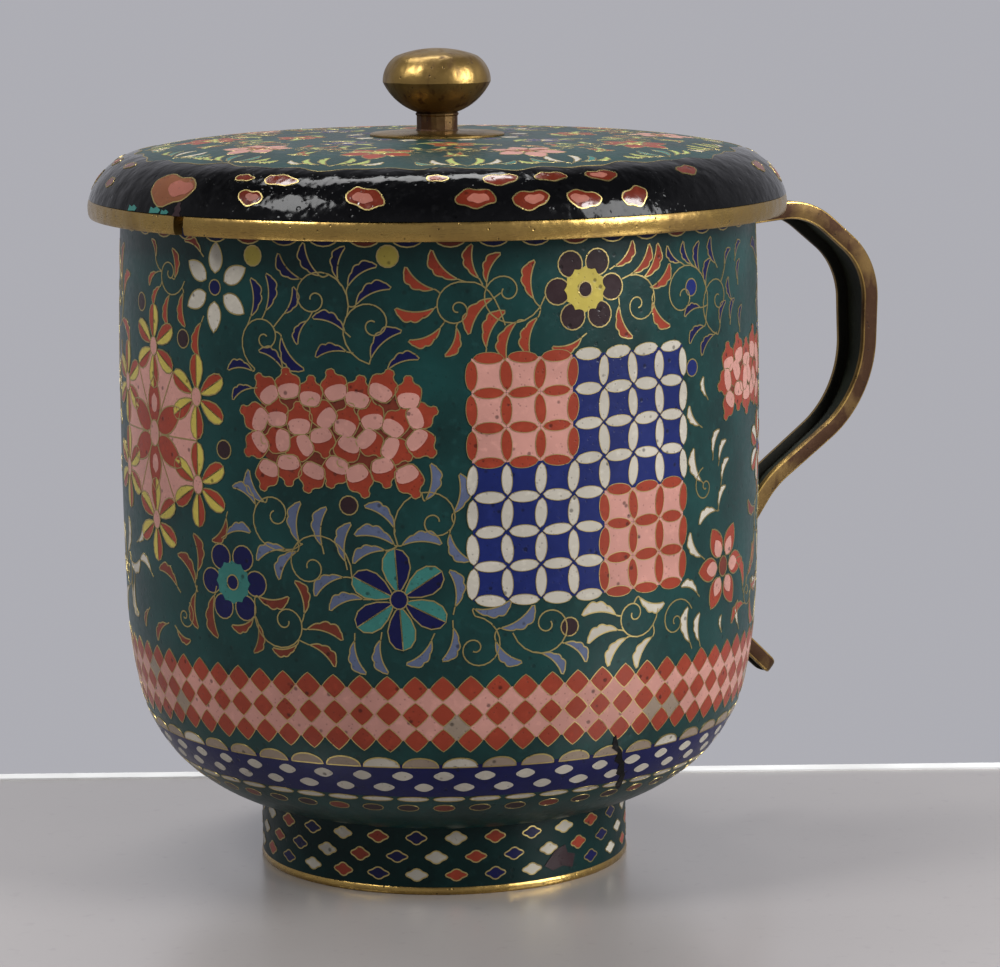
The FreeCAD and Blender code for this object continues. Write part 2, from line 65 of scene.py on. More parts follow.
# Outer faces as corners of radius, height and outward lean from upright, in millimetres and degrees.
WALL_CORNERS = [
    (29.1, 10.5, 78.6), (39.6, 15.4, 52.0), (48.0, 28.4, 12.8), (49.8, 42.3, 2.1), (49.55, 103.1, -1.9),
]
FOOT_CORNERS = [(29.1, 1.2, 0.0), (29.1, 10.5, 0.0)]
LID_CORNERS = [
    (54.3, 105.3, -16.0), (47.1, 112.2, -77.2), (32.0, 114.05, -88.7), (SCREW_HOLE, 114.4, -90.0),
]
SHELL_DEPTH = 0.9
FOOT_DEPTH = 0.8


# Sizes and colours that a user would change

def length(name, description, default_mm):
    return FloatProperty(name=name, description=description, default=default_mm * MM, unit="LENGTH",
                         precision=5)


def paint(name, description, shade):
    return FloatVectorProperty(name=name, description=description, default=shade, subtype="COLOR", size=3,
                               min=0.0, max=1.0)


class MugSizes(bpy.types.PropertyGroup):
    """Sizes of the dressing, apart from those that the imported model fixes."""
    wire_width: length("Wire width", "Width of a gilt wire on the enamel", 0.24)
    wire_rise: length("Wire rise", "How far a wire stands out of the ground", 0.055)
    cell_rise: length("Cell rise", "How far a coloured cell stands out of the ground", 0.04)
    diamond_height: length("Diamond height", "Height of one diamond of the band", 4.05)
    camera_distance: length("Camera distance", "From the mug's axis to the camera along the floor", 580.0)
    camera_height: length("Camera height", "Height of the camera above the table", 149.1)


class MugColours(bpy.types.PropertyGroup):
    """Colours of the enamels and metals, as linear values."""
    ground: paint("Ground", "Dark green ground enamel", (0.0034, 0.034, 0.0315))
    black: paint("Lid side", "Black enamel on the side of the lid", (0.003, 0.003, 0.0035))
    red: paint("Red", "Brick red cells", (0.23, 0.031, 0.0135))
    pink: paint("Pink", "Pink cells", (0.44, 0.213, 0.176))
    white: paint("White", "White cells", (0.42, 0.385, 0.325))
    cobalt: paint("Cobalt", "Strong blue cells", (0.005, 0.012, 0.092))
    midnight: paint("Midnight", "Darkest blue cells", (0.0012, 0.0022, 0.042))
    navy: paint("Navy", "Blue band under the diamonds", (0.001, 0.0025, 0.052))
    yellow: paint("Yellow", "Yellow cells", (0.40, 0.32, 0.06))
    lavender: paint("Lavender", "Grey-blue cells", (0.080, 0.098, 0.165))
    turquoise: paint("Turquoise", "Blue-green cells", (0.030, 0.145, 0.125))
    aubergine: paint("Aubergine", "Dark purple-brown cells", (0.020, 0.008, 0.010))
    russet: paint("Russet", "Dark red cells", (0.125, 0.022, 0.011))
    rose: paint("Rose", "Paler hearts of the clouds on the lid", (0.25, 0.082, 0.057))
    amber: paint("Amber", "Orange of the large cloud by the crack", (0.155, 0.052, 0.02))
    leaf: paint("Leaf", "Yellow-green cells of the lid", (0.30, 0.36, 0.10))
    beige: paint("Beige", "Dull pinkish beads above the blue band", (0.23, 0.175, 0.13))
    gilt: paint("Gilt", "Worn gilding on brass", (0.36, 0.235, 0.07))
    patina: paint("Patina", "Brown tarnish in hollows", (0.040, 0.015, 0.004))
    gold: paint("Wire", "Polished gold of the wires", (0.37, 0.29, 0.115))
    tarnish_and_shade: paint("Tarnish", "Black tarnish in the channel of the handle", (0.010, 0.010, 0.006))
    verdigris: paint("Verdigris", "Green tarnish on the floor of the channel", (0.030, 0.038, 0.024))
    table: paint("Table", "The surface under the mug", (0.33, 0.303, 0.292))
    wall: paint("Wall", "What stands behind the mug", (0.42, 0.42, 0.456))


def sizes():
    return bpy.context.scene.mug_sizes


def colour(name):
    return (*getattr(bpy.context.scene.mug_colours, name), 1.0)


def shaded(shade, share):
    """A colour with its brightness changed by a factor."""
    return (*(min(1.0, part * share) for part in shade[:3]), 1.0)


# Shader maths

class Signal:
    """A number, vector or colour in a material, which can be used in ordinary sums."""

    def __init__(self, finish, socket):
        self.finish = finish
        self.socket = socket

    def _math(self, operation, first, second):
        return self.finish.node("Math", {"operation": operation}, {0: first, 1: second})

    def __add__(self, other):
        return self._math("ADD", self, other)

    def __sub__(self, other):
        return self._math("SUBTRACT", self, other)

    def __mul__(self, other):
        return self._math("MULTIPLY", self, other)

    __radd__ = __add__
    __rmul__ = __mul__

    def __rsub__(self, other):
        return self._math("SUBTRACT", other, self)

    def ramp(self, low, high):
        """Zero below low, one above high and straight between them."""
        settings = {"clamp": True}
        return self.finish.node("MapRange", settings, {"Value": self, "From Min": low, "From Max": high})


class Finish:
    """The nodes of a material or of the world."""

    def __init__(self, owner):
        owner.use_nodes = True
        self.owner = owner
        self.nodes = owner.node_tree.nodes
        self.links = owner.node_tree.links
        self.nodes.clear()

    def node(self, kind, settings, sockets, output=0):
        made = self.nodes.new(f"ShaderNode{kind}")
        for name, value in settings.items():
            if name == "stops":
                self.set_stops(made.color_ramp, value)
            else:
                setattr(made, name, value)
        for name, value in sockets.items():
            if isinstance(value, Signal):
                self.links.new(value.socket, made.inputs[name])
            else:
                made.inputs[name].default_value = value
        return None if output is None else Signal(self, made.outputs[output])

    @property
    def place(self):
        return self.node("TexCoord", {}, {}, "Object")

    def set_stops(self, ramp, stops):
        while len(ramp.elements) < len(stops):
            ramp.elements.new(0.5)
        for element, (position, shade) in zip(ramp.elements, stops):
            element.position = position
            element.color = shade

    def mix(self, factor, first, second):
        settings = {"data_type": "RGBA"}
        return self.node("Mix", settings, {0: factor, 6: first, 7: second}, 2)

    def noise(self, scale, detail=3.0, stretch=(1, 1, 1)):
        """Soft cloudy values round one half; the scale is in waves per metre."""
        place = self.node("Mapping", {}, {"Vector": self.place, "Scale": stretch})
        return self.node("TexNoise", {}, {"Vector": place, "Scale": scale, "Detail": detail})

    def specks(self, scale, size):
        """One on scattered small dots, zero between them."""
        dots = self.node("TexVoronoi", {}, {"Vector": self.place, "Scale": scale})
        return 1 - dots.ramp(size * 0.5, size)

    def bump(self, height, distance, strength):
        """Normals of a relief whose depth is a distance in millimetres."""
        return self.node("Bump", {}, {"Height": height, "Distance": distance * MM, "Strength": strength})

    def finish(self, **sockets):
        names = {name.replace("_", " ").title().replace("Ior", "IOR"): value
                 for name, value in sockets.items()}
        shader = self.node("BsdfPrincipled", {}, names)
        self.node("OutputMaterial", {}, {"Surface": shader}, None)
        return self.owner


def enamel(name, shade, deep, pits, gloss=0.28, shine=0.2, waves=0.6):
    """Fired glass: cloudy colour, small dark pits and a slightly uneven polished face."""
    made = Finish(bpy.data.materials.new(name))
    cloud = made.noise(90.0, 4.0)
    grain = made.noise(900.0)
    lighter = (*(min(1.0, part * 1.2 + 0.003) for part in shade[:3]), 1.0)
    tone = made.mix(cloud.ramp(0.35, 0.7), shaded(shade, deep), shade)
    tone = made.mix(grain.ramp(0.55, 0.8) * 0.6, tone, lighter)
    hole = made.specks(420.0, 0.17) * pits + made.specks(1150.0, 0.2) * pits * 0.55
    tone = made.mix(hole, tone, shaded(shade, 0.12))
    surface = made.noise(260.0, 2.0) * waves + grain * 0.15 - hole * 0.8
    return made.finish(
        base_color=tone,
        roughness=grain.ramp(0.2, 0.9) * 0.16 + gloss,
        specular_ior_level=shine,
        normal=made.bump(surface, 0.12, 0.6),
    )


def brass(name, wear, grime, gloss=0.26, streaks=(1, 1, 1), dents=0.2, darkness=0.0, metal="gilt",
          painted_shade_heights=None):
    """Gilt brass: brown tarnish in patches, fine scratches and soft dents.
    A pair of heights gives painted shade: below the lower one the metal is painted quite dark, and above the
    higher one it is as bright as elsewhere."""
    made = Finish(bpy.data.materials.new(name))
    patch = made.noise(110.0, 5.0)
    fine = made.noise(1500.0)
    scratch = made.noise(700.0, 2.0, streaks)
    # How dark the metal is painted: tarnish in patches and scratches, its own darkness, and painted shade on
    # the knob's underside.
    tarnish_and_shade = patch.ramp(0.62 - wear * 0.25, 0.82) + scratch.ramp(0.55, 0.8) * grime + darkness
    # Painted shade: darker below the lower height and fading out at the higher one, towards the patina
    # colour.
    if painted_shade_heights:
        height = made.node("SeparateXYZ", {}, {"Vector": made.place}, "Z")
        tarnish_and_shade = tarnish_and_shade + (1 - height.ramp(painted_shade_heights[0] * MM, painted_shade_heights[1] * MM)) * (0.95 - darkness)
    base = made.mix((tarnish_and_shade * 0.85).ramp(0.0, 1.0), colour(metal), colour("patina"))
    bright = made.mix(fine.ramp(0.6, 0.8) * 0.3 * (1 - darkness), base, shaded(colour(metal), 1.45))
    spots = made.specks(700.0, 0.14)
    tone = made.mix(spots * 0.7, bright, (0.014, 0.009, 0.005, 1.0))
    surface = made.noise(300.0, 2.0) + fine * 0.15 - spots * 0.2
    return made.finish(
        base_color=tone,
        metallic=1.0 - tarnish_and_shade.ramp(0.0, 1.0) * 0.3,
        roughness=tarnish_and_shade.ramp(0.0, 1.2) * 0.25 + scratch * 0.12 + gloss - 0.06,
        normal=made.bump(surface, dents, 0.7),
    )


# Enamels by what they cover: the material's name, its colour, a share of that colour's brightness
# and its finish. Any other name is that of a plain cell's colour.
ENAMELS = {
    "ground": ("enamel_ground", "ground", 1.0, dict(deep=0.5, pits=0.4)),
    # The foot's ground: the wall's ground painted at half its brightness, as painted shade under the body.
    "foot_ground_painted_shade": ("enamel_foot_ground_painted_shade", "ground", 0.5, dict(deep=0.5, pits=0.4, gloss=0.34, shine=0.12)),
    "black": ("enamel_lid_side", "black", 1.0, dict(deep=0.6, pits=0.5, gloss=0.03, shine=0.11, waves=4.0)),
    "glossy_red": ("enamel_lid_red", "red", 0.5, dict(deep=0.6, pits=0.5, gloss=0.08, shine=0.5, waves=3.0)),
    "lining": ("enamel_lining", "turquoise", 1.0, dict(deep=0.7, pits=0.3, gloss=0.2)),
    "channel": ("tarnished_channel", "tarnish_and_shade", 1.0, dict(deep=0.5, pits=0.3, gloss=0.5)),
    "verdigris": ("channel_floor", "verdigris", 1.0, dict(deep=0.35, pits=0.6, gloss=0.5)),
}
CELL_FINISH = dict(deep=0.78, pits=0.7)

# Metals by what they cover: the material's name and its finish.
TALL_STREAKS = (1, 1, 0.2)
EDGE_FINISH = dict(gloss=0.34, streaks=TALL_STREAKS)
KNOB_FINISH = dict(grime=0.5, streaks=TALL_STREAKS, dents=0.3)
METALS = {
    "wire": ("gilt_wire", dict(wear=0.25, grime=0.2, gloss=0.36, metal="gold")),
    "rim": ("brass_rim", dict(wear=0.6, grime=0.6, streaks=(1, 1, 9), dents=0.3)),
    "strap": ("brass_strap", dict(wear=0.6, grime=0.4)),
    "strap_lip": ("brass_strap_lip", dict(wear=0.8, grime=0.6, darkness=0.3, **EDGE_FINISH)),
    "strap_side": ("brass_strap_side", dict(wear=0.9, grime=0.3, darkness=0.86, **EDGE_FINISH)),
    "knob": ("brass_knob", dict(wear=0.8, gloss=0.24, darkness=0.36, **KNOB_FINISH)),
    "plate": ("brass_knob_plate", dict(wear=0.7, gloss=0.24, darkness=0.12, **KNOB_FINISH)),
    # The knob's underside and neck: the knob's brass painted darker, as painted shade, and darker still lower
    # down.
    "knob_underside_painted_shade": ("brass_knob_underside_painted_shade", dict(wear=0.9, darkness=0.6, painted_shade_heights=(119.7, 123.5), **KNOB_FINISH)),
    "screw": ("brass_screw", dict(wear=0.3, grime=0.2, gloss=0.34)),
    "copper": ("bare_copper", dict(wear=0.9, grime=0.4, gloss=0.4)),
}
FINISHES = {}


def finish_of(name):
    """Makes each material once, by the name of what it covers."""
    if name not in FINISHES and name in METALS:
        label, finish = METALS[name]
        FINISHES[name] = brass(label, **finish)
    elif name not in FINISHES:
        label, tint, share, finish = ENAMELS.get(name, (f"enamel_{name}", name, 1.0, CELL_FINISH))
        FINISHES[name] = enamel(label, shaded(colour(tint), share), **finish)
    return FINISHES[name]


# Surfaces of revolution

def arc_points(start, stop, turn, count):
    """Points along the arc between two corners that turns by an angle, without its last point."""
    (x0, y0), (x1, y1) = start, stop
    if abs(turn) < 1e-6:
        return [(x0 + (x1 - x0) * step / count, y0 + (y1 - y0) * step / count) for step in range(count)]
    half = turn / 2
    centre_x = (x0 + x1) / 2 - (y1 - y0) / 2 / math.tan(half)
    centre_y = (y0 + y1) / 2 + (x1 - x0) / 2 / math.tan(half)
    points = []
    for step in range(count):
        angle = turn * step / count
        dx, dy = x0 - centre_x, y0 - centre_y
        points.append((
            centre_x + dx * math.cos(angle) - dy * math.sin(angle),
            centre_y + dx * math.sin(angle) + dy * math.cos(angle),
        ))
    return points


class Profile:
    """The outer face of a turned piece, measured along its outline in metres from its first corner."""

    def __init__(self, corners, count=24):
        points = []
        for (r0, z0, lean0), (r1, z1, lean1) in zip(corners, corners[1:]):
            turn = math.radians(lean0 - lean1)
            points += arc_points((r0 * MM, z0 * MM), (r1 * MM, z1 * MM), turn, count)
        points.append((corners[-1][0] * MM, corners[-1][1] * MM))
        self.points = points
        self.along = [0.0]
        for (r0, z0), (r1, z1) in zip(points, points[1:]):
            self.along.append(self.along[-1] + math.hypot(r1 - r0, z1 - z0))

    def at(self, along):
        """Radius, height and outward normal at a distance along the outline."""
        index = 0
        for index in range(len(self.along) - 2):
            if self.along[index + 1] >= along:
                break
        (r0, z0), (r1, z1) = self.points[index], self.points[index + 1]
        span = self.along[index + 1] - self.along[index]
        share = (along - self.along[index]) / span
        normal = ((z1 - z0) / span, (r0 - r1) / span)
        return r0 + (r1 - r0) * share, z0 + (z1 - z0) * share, normal

    def crossing(self, axis, value, way):
        """Distance along the outline where it first passes a radius or height, upwards or downwards."""
        for index, point in enumerate(self.points):
            if (point[axis] - value) * way >= 0:
                before = self.points[index - 1][axis]
                share = (value - before) / (point[axis] - before)
                return self.along[index - 1] + share * (self.along[index] - self.along[index - 1])
        return self.along[-1]

    def at_height(self, height):
        return self.crossing(1, height, 1)

    def at_radius(self, radius):
        return self.crossing(0, radius, -1)


WALL = Profile(WALL_CORNERS)
FOOT = Profile(FOOT_CORNERS, 2)
LID = Profile(LID_CORNERS)


def new_piece(name, vertices, faces, finishes, body, slot, sharp=40):
    """A mesh object with its finishes and its body. The slot is not used."""
    mesh = bpy.data.meshes.new(name)
    mesh.from_pydata(vertices, [], faces)
    mesh.validate()
    for finish in finishes:
        mesh.materials.append(finish_of(finish))
    mesh.shade_smooth()
    mesh.set_sharp_from_angle(angle=math.radians(sharp))
    piece = bpy.data.objects.new(name, mesh)
    bpy.context.scene.collection.objects.link(piece)
    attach(piece, body)
    return piece


def around(radius, angle, height):
    return Vector((radius * math.cos(angle), radius * math.sin(angle), height))


def joined(low, high, count):
    """Four-sided faces between two closed rings of points, by the number of each ring's first point."""
    return [(low + n, low + (n + 1) % count, high + (n + 1) % count, high + n) for n in range(count)]


# Inside this radius the waver of a turned piece fades away.
STEADY_RADIUS = 4


def turned(name, outline, finish, body, slot, count, waver=0.0, sharp=40, gap=None):
    """A ring turned from a closed outline of radius and height, with a slight hand-made waver.
    A gap is the turn from the front and the width, in radians, of a crack through the ring."""
    steps, start, sweep = count, 0.0, math.tau
    if gap:
        steps, start, sweep = count + 1, FRONT + gap[0] + gap[1] / 2, math.tau - gap[1]
    vertices, faces = [], []
    for step in range(steps):
        angle = start + sweep * step / count
        for radius, height in outline:
            drift = noise.noise(Vector((math.cos(angle), math.sin(angle), height * 40)) * 3) * waver
            drift *= min(1.0, radius / (STEADY_RADIUS * MM))
            vertices.append(around(radius + drift, angle, height + drift * 0.5))
    size = len(outline)
    for step in range(count):
        here, there = step * size, (step + 1) % steps * size
        for index in range(size):
            after = (index + 1) % size
            faces.append((here + index, there + index, there + after, here + after))
    if gap:
        faces.append(tuple(range(size))[::-1])
        faces.append(tuple(range(count * size, (count + 1) * size)))
    return new_piece(name, vertices, faces, [finish], body, slot, sharp)


def shell(profile, depth):
    """Closed outline of a layer under an outer face, anticlockwise round its section."""
    inner = []
    for along in profile.along[::-1]:
        radius, height, normal = profile.at(along)
        inner.append((max(radius - normal[0] * depth, SCREW_HOLE * MM), height - normal[1] * depth))
    return profile.points + inner


# Ornament laid on a turned surface

def zigzag(count):
    """Triangles that fill an outline from its first point to its far end."""
    low, high, triangles = 0, count - 1, []
    while high - low > 1:
        triangles.append((low, low + 1, high))
        low += 1
        if high - low > 1:
            triangles.append((low, high - 1, high))
            high -= 1
    return triangles


def area(outline):
    """Area inside an outline, below zero where it runs clockwise."""
    return sum(a[0] * b[1] - b[0] * a[1] for a, b in zip(outline, outline[1:] + outline[:1])) / 2


def level(angle):
    """The edge of a strip that runs straight round."""
    return 0.0


# How much higher each layer of cells stands, as a share of the rise of a cell.
LAYER_SHARE = 0.7
# The angle in degrees above which an edge of the ornament stays sharp.
CRISP_ANGLE = 50

# Section of a wire, as shares of half its width and of its rise.
WIRE_SHARES = ((1, -0.5), (0.8, 1), (-0.8, 1), (-1, -0.5))


class Ornament:
    """Collects coloured cells and gilt wires on a turned face, and makes one piece of each colour."""

    def __init__(self, profile, name, body, slot, relief=1.0):
        self.profile = profile
        self.name = name
        self.body = body
        self.slot = slot
        self.relief = relief
        self.cells = {}
        self.wires = ([], [])
        self.mirrored = False
        self.swaps = {}

    def place(self, turn, height):
        """A place on the wall, by degrees round from the front and millimetres of height."""
        return turn, self.profile.at_height(height * MM)

    def row(self, count, shift, height):
        """Numbered places evenly spaced right round, the first of them shifted from the front."""
        return [(n, self.place(n * 360 / count + shift, height)) for n in range(count)]

    def spot(self, place, u, v, lift):
        """A point near a place: u to the right and v along the outline, with a lift off the face."""
        turn, along = place
        if self.mirrored:
            turn, u = 180 - turn, -u
        here = self.profile.at(along)[0]
        radius, height, normal = self.profile.at(along + v)
        angle = FRONT + math.radians(turn) + u / here
        return around(radius + normal[0] * lift, angle, height + normal[1] * lift)

    def add(self, faces, more):
        """Adds faces, turned over where the ornament is mirrored."""
        faces.extend(tuple(corners[::-1]) if self.mirrored else tuple(corners) for corners in more)

    def cell(self, place, outline, tint, layer=0, wired=True, rings=0):
        """A raised patch of enamel inside an outline, with a wire round it: wired is its share of the
        usual width. Rings are the steps from the rim to the middle of a patch too wide to lie flat."""
        if area(outline) < 0:
            outline = outline[:1] + outline[:0:-1]
        vertices, faces = self.cells.setdefault(self.swaps.get(tint, tint), ([], []))
        rise = sizes().cell_rise * (1 + layer * LAYER_SHARE) * self.relief
        count = len(outline)
        first = len(vertices)
        top = first + count
        for lift in (-sizes().cell_rise, rise):
            vertices.extend(self.spot(place, u, v, lift) for u, v in outline)
        self.add(faces, joined(first, top, count))
        if rings:
            self.fill_by_rings(place, outline, vertices, faces, rise, rings)
        else:
            self.add(faces, [[top + corner for corner in corners] for corners in zigzag(count)])
        if wired:
            self.wire(place, outline, True, layer, wired)

    def fill_by_rings(self, place, outline, vertices, faces, rise, rings):
        """The top of a wide patch, from its outline in to its middle."""
        count = len(outline)
        middle = [sum(point[axis] for point in outline) / count for axis in (0, 1)]
        before = len(vertices) - count
        for ring in range(1, rings):
            share = 1 - ring / rings
            here = len(vertices)
            for u, v in outline:
                near = middle[0] + (u - middle[0]) * share, middle[1] + (v - middle[1]) * share
                vertices.append(self.spot(place, *near, rise))
            self.add(faces, joined(before, here, count))
            before = here
        vertices.append(self.spot(place, *middle, rise))
        last = len(vertices) - 1
        self.add(faces, [(before + n, before + (n + 1) % count, last) for n in range(count)])

    def wire(self, place, line, closed=False, layer=0, width=1):
        """A gilt wire along a line of points near a place."""
        vertices, faces = self.wires
        half = sizes().wire_width / 2 * width
        top = (sizes().wire_rise + sizes().cell_rise * layer * LAYER_SHARE) * self.relief
        first = len(vertices)
        count = len(line)
        for index, (u, v) in enumerate(line):
            before = line[index - 1] if closed or index else line[0]
            after = line[(index + 1) % count] if closed or index < count - 1 else line[-1]
            way = Vector((after[0] - before[0], after[1] - before[1]))
            way = way.normalized() if way.length > 0 else Vector((1, 0))
            across = Vector((-way.y, way.x)) * half
            for share, rise in WIRE_SHARES:
                vertices.append(self.spot(place, u + across.x * share, v + across.y * share, top * rise))
        size = len(WIRE_SHARES)
        for index in range(count if closed else count - 1):
            here = first + index * size
            there = first + (index + 1) % count * size
            self.add(faces, [(here + n + 1, here + n, there + n, there + n + 1) for n in range(size - 1)])

    def hoop(self, low, high, tint, layer=0.0, uneven=0.0, edge=level, steps=10, count=288):
        """A raised strip right round between two distances along the outline.
        The edge is a function of the angle that shifts the upper side of the strip."""
        vertices, faces = self.cells.setdefault(tint, ([], []))
        first = len(vertices)
        rise = sizes().cell_rise * (1 + layer * LAYER_SHARE)
        size = steps + 3
        for number in range(count):
            angle = math.tau * number / count
            top = high + edge(angle)
            for step in range(-1, steps + 2):
                share = min(max(step / steps, 0.0), 1.0)
                swell = uneven * noise.noise(Vector((math.cos(angle) * 4, math.sin(angle) * 4, share * 5)))
                lift = rise * (1 + swell) if 0 <= step <= steps else -rise
                spot = math.degrees(angle), low + (top - low) * share
                vertices.append(self.spot(spot, 0.0, 0.0, lift))
        for number in range(count):
            here, there = first + number * size, first + (number + 1) % count * size
            for step in range(size - 1):
                faces.append((here + step, there + step, there + step + 1, here + step + 1))

    def hoop_wire(self, along, edge, layer, count=360):
        """A gilt wire right round at a distance along the outline, shifted by an edge as in a hoop."""
        circle = math.tau * self.profile.at(along)[0]
        line = [(circle * n / count, edge(math.tau * n / count)) for n in range(count)]
        self.wire((0.0, along), line, True, layer)

    def build(self):
        for tint, (vertices, faces) in sorted(self.cells.items()):
            new_piece(f"{self.name}_{tint}", vertices, faces, [tint], self.body, self.slot, CRISP_ANGLE)
        vertices, faces = self.wires
        new_piece(f"{self.name}_wires", vertices, faces, ["wire"], self.body, "brass_rim", CRISP_ANGLE)


def swung(points, angle, shift=(0.0, 0.0)):
    """Points turned anticlockwise by an angle in radians and then shifted."""
    c, s = math.cos(angle), math.sin(angle)
    return [(u * c - v * s + shift[0], u * s + v * c + shift[1]) for u, v in points]


def pointed(outline, angle, root=(0.0, 0.0)):
    """An outline that points up, swung to a direction in degrees and moved to its root."""
    return swung(outline, math.radians(angle) - math.pi / 2, root)


def both_sides(half):
    """The right side of an outline, followed by its mirror image back to the start."""
    return half + [(-u, v) for u, v in half[::-1]]


def fine_outline(corners, steps):
    """An outline through corners, with evenly spaced points along its straight sides."""
    sides = zip(corners, corners[1:] + corners[:1])
    return [point for first, last in sides for point in arc_points(first, last, 0.0, steps)]


def polar(angle, distance):
    """Offset in metres from degrees anticlockwise from the right and millimetres."""
    return distance * MM * math.cos(math.radians(angle)), distance * MM * math.sin(math.radians(angle))


# Outlines of single cells, in metres, pointing up from their root at the origin

def ringed(width, height, count, reach):
    """An outline round the origin; its reach in a direction is a share of the half width and height."""
    points = []
    for n in range(count):
        angle = math.tau * n / count
        share = reach(angle) / 2
        points.append((width * share * math.cos(angle), height * share * math.sin(angle)))
    return points


def oval(width, height, count=16):
    return ringed(width, height, count, lambda angle: 1.0)


def lens(width, length, count=10):
    """A long petal with blunt points, centred on the origin."""
    side = [(width / 2 * math.sin(math.pi * n / count) ** 0.5, -length / 2 + length * n / count)
            for n in range(count)]
    return side + [(-u, -v) for u, v in side]


def petal(width, length, count=9):
    """Narrow at the root and round at the far end."""
    points = []
    for n in range(count + 1):
        share = n / count
        half = width / 2 * math.sin(math.pi * share ** 0.85) ** 0.75 if 0 < share < 1 else 0.0
        points.append((half, length * share))
    return points + [(-u, v) for u, v in points[-2:0:-1]]


def leaf(width, length, hand, count=20):
    """A bowed leaf: a smooth hollow side, a scalloped full side, a thin root and a blunt tip."""
    hollow, full = [], []
    for n in range(1, count):
        share = n / count
        bow = length * 0.44 * share * (1 - share)
        body = 1.62 * share ** 0.75 * (1 - share) ** 0.36
        scallop = 0.88 + 0.22 * abs(math.sin(math.pi * share * 3.3))
        hollow.append((hand * bow, length * share))
        full.append((hand * (bow + width * body * scallop), length * share * 0.99))
    tip = [(hand * width * 0.15, length * 1.01)]
    return [(0.0, 0.0)] + hollow + tip + full[::-1]


# Shield petal, as shares of its width and length: its right side up to the nub, and the crown of the part
# below its crest.
SHIELD_SHARES = [
    (0.20, 0.0), (0.36, 0.06), (0.43, 0.18), (0.47, 0.32), (0.50, 0.48), (0.49, 0.60), (0.40, 0.69),
    (0.25, 0.75), (0.17, 0.83), (0.17, 0.92), (0.09, 0.99),
]
CROWN_SHARES = [(0.42, 0.40), (0.30, 0.46), (0.10, 0.49)]


def shield(width, length):
    """A lobed petal with a nub on its crest, and the part of it below the crest."""
    right = [(u * width, v * length) for u, v in SHIELD_SHARES]
    low = [(u * width * 0.9, (v * 0.94 + 0.02) * length) for u, v in SHIELD_SHARES[:4] + CROWN_SHARES]
    return both_sides(right), both_sides(low)


def quatrefoil(width, height, depth=0.13):
    """Four soft lobes; the depth of the hollows between them is a share."""
    return ringed(width, height, 24, lambda angle: 1 - depth + depth * math.cos(4 * angle))


# One would give a diamond sharp corners, and two would make it round.
DIAMOND_POWER = 1.14


def diamond(width, height):
    """A diamond with worn corners."""
    def reach(angle):
        total = abs(math.cos(angle)) ** DIAMOND_POWER + abs(math.sin(angle)) ** DIAMOND_POWER
        return 1 / total ** (1 / DIAMOND_POWER)

    return ringed(width, height, 20, reach)


def half_oval(width, height, count=8):
    """Flat side down, with its middle at the origin."""
    arch = [(width / 2 * math.cos(math.pi * n / count), height * math.sin(math.pi * n / count))
            for n in range(count + 1)]
    return arch + [(width * (n / count - 0.5), 0.0) for n in range(1, count)]


def cloud(width, height, lobe, tilt, count=28):
    """A low uneven cloud with a full middle, lesser lobes and drawn-out ends."""
    points = []
    for n in range(count):
        angle = math.tau * n / count
        u = math.cos(angle) * (0.97 + 0.07 * math.sin(3 * angle + lobe * 4))
        swell = 0.13 * math.cos(5 * angle + lobe * 9) + 0.14 * math.cos(angle + lobe * 5)
        v = math.sin(angle) * (0.86 + swell)
        points.append((width / 2 * u, height / 2 * (v + tilt * u)))
    return points


def spiral(radius, hand, start, turns=1.6, count=34):
    """A curl from its small eye out to its rim; the start is the direction of its outer end."""
    points = []
    for n in range(count + 1):
        share = n / count
        angle = start - hand * math.tau * turns * (1 - share)
        reach = radius * (0.12 + 0.88 * share ** 2)
        points.append((reach * math.cos(angle), reach * math.sin(angle)))
    return points


# Motifs

def curve(start, through, end, count=6):
    """Points along a bend from a start to an end, drawn towards a point between them."""
    points = []
    for n in range(count + 1):
        share = n / count
        weights = (1 - share) ** 2, 2 * share * (1 - share), share ** 2
        pairs = list(zip(weights, (start, through, end)))
        points.append(tuple(sum(weight * point[axis] for weight, point in pairs) for axis in (0, 1)))
    return points


# Degrees between the way that a leaf points and the way that its stalk comes in.
STALK_LEAN = 22
# Width of a leaf as a share of its length.
LEAF_WIDTH_SHARE = 0.33


def draw_leaf(work, place, root, angle, size, tint, hand, stem=None):
    """A leaf at its root, in a direction in degrees, with a stalk from the stem to the root."""
    work.cell(place, pointed(leaf(size * LEAF_WIDTH_SHARE, size, hand), angle, root), tint)
    rise = math.radians(angle - hand * STALK_LEAN)
    way = math.cos(rise), math.sin(rise)
    if stem is None:
        stem = root[0] - way[0] * size * 0.22, root[1] - way[1] * size * 0.22
    bend = math.dist(root, stem) * 0.5
    work.wire(place, curve(stem, (root[0] - way[0] * bend, root[1] - way[1] * bend), root))


def draw_curl(work, place, radius, hand, start):
    """A curling stem, and a function that finds the point nearest to another on its outer part."""
    curl = spiral(radius * MM, hand, math.radians(start))
    work.wire(place, curl)
    outer = curl[len(curl) // 3:]
    return lambda spot: min(outer, key=lambda point: math.dist(point, spot))


def scroll(work, turn, height, radius, hand, start, tint, leaves, rng):
    """A curling stem with leaves standing out round it; each leaf is an angle and a distance."""
    place = work.place(turn, height)
    nearest = draw_curl(work, place, radius * 1.4, hand, start)
    for angle, distance in leaves:
        size = 5.7 * (0.92 + 0.16 * rng.random())
        sweep = -hand * (6 + 16 * rng.random())
        root = polar(angle + hand * 7, max(distance - size * 0.5, radius * 1.15))
        stem = nearest(polar(angle + hand * 30, radius))
        draw_leaf(work, place, root, angle + sweep, size * MM, tint, hand, stem)


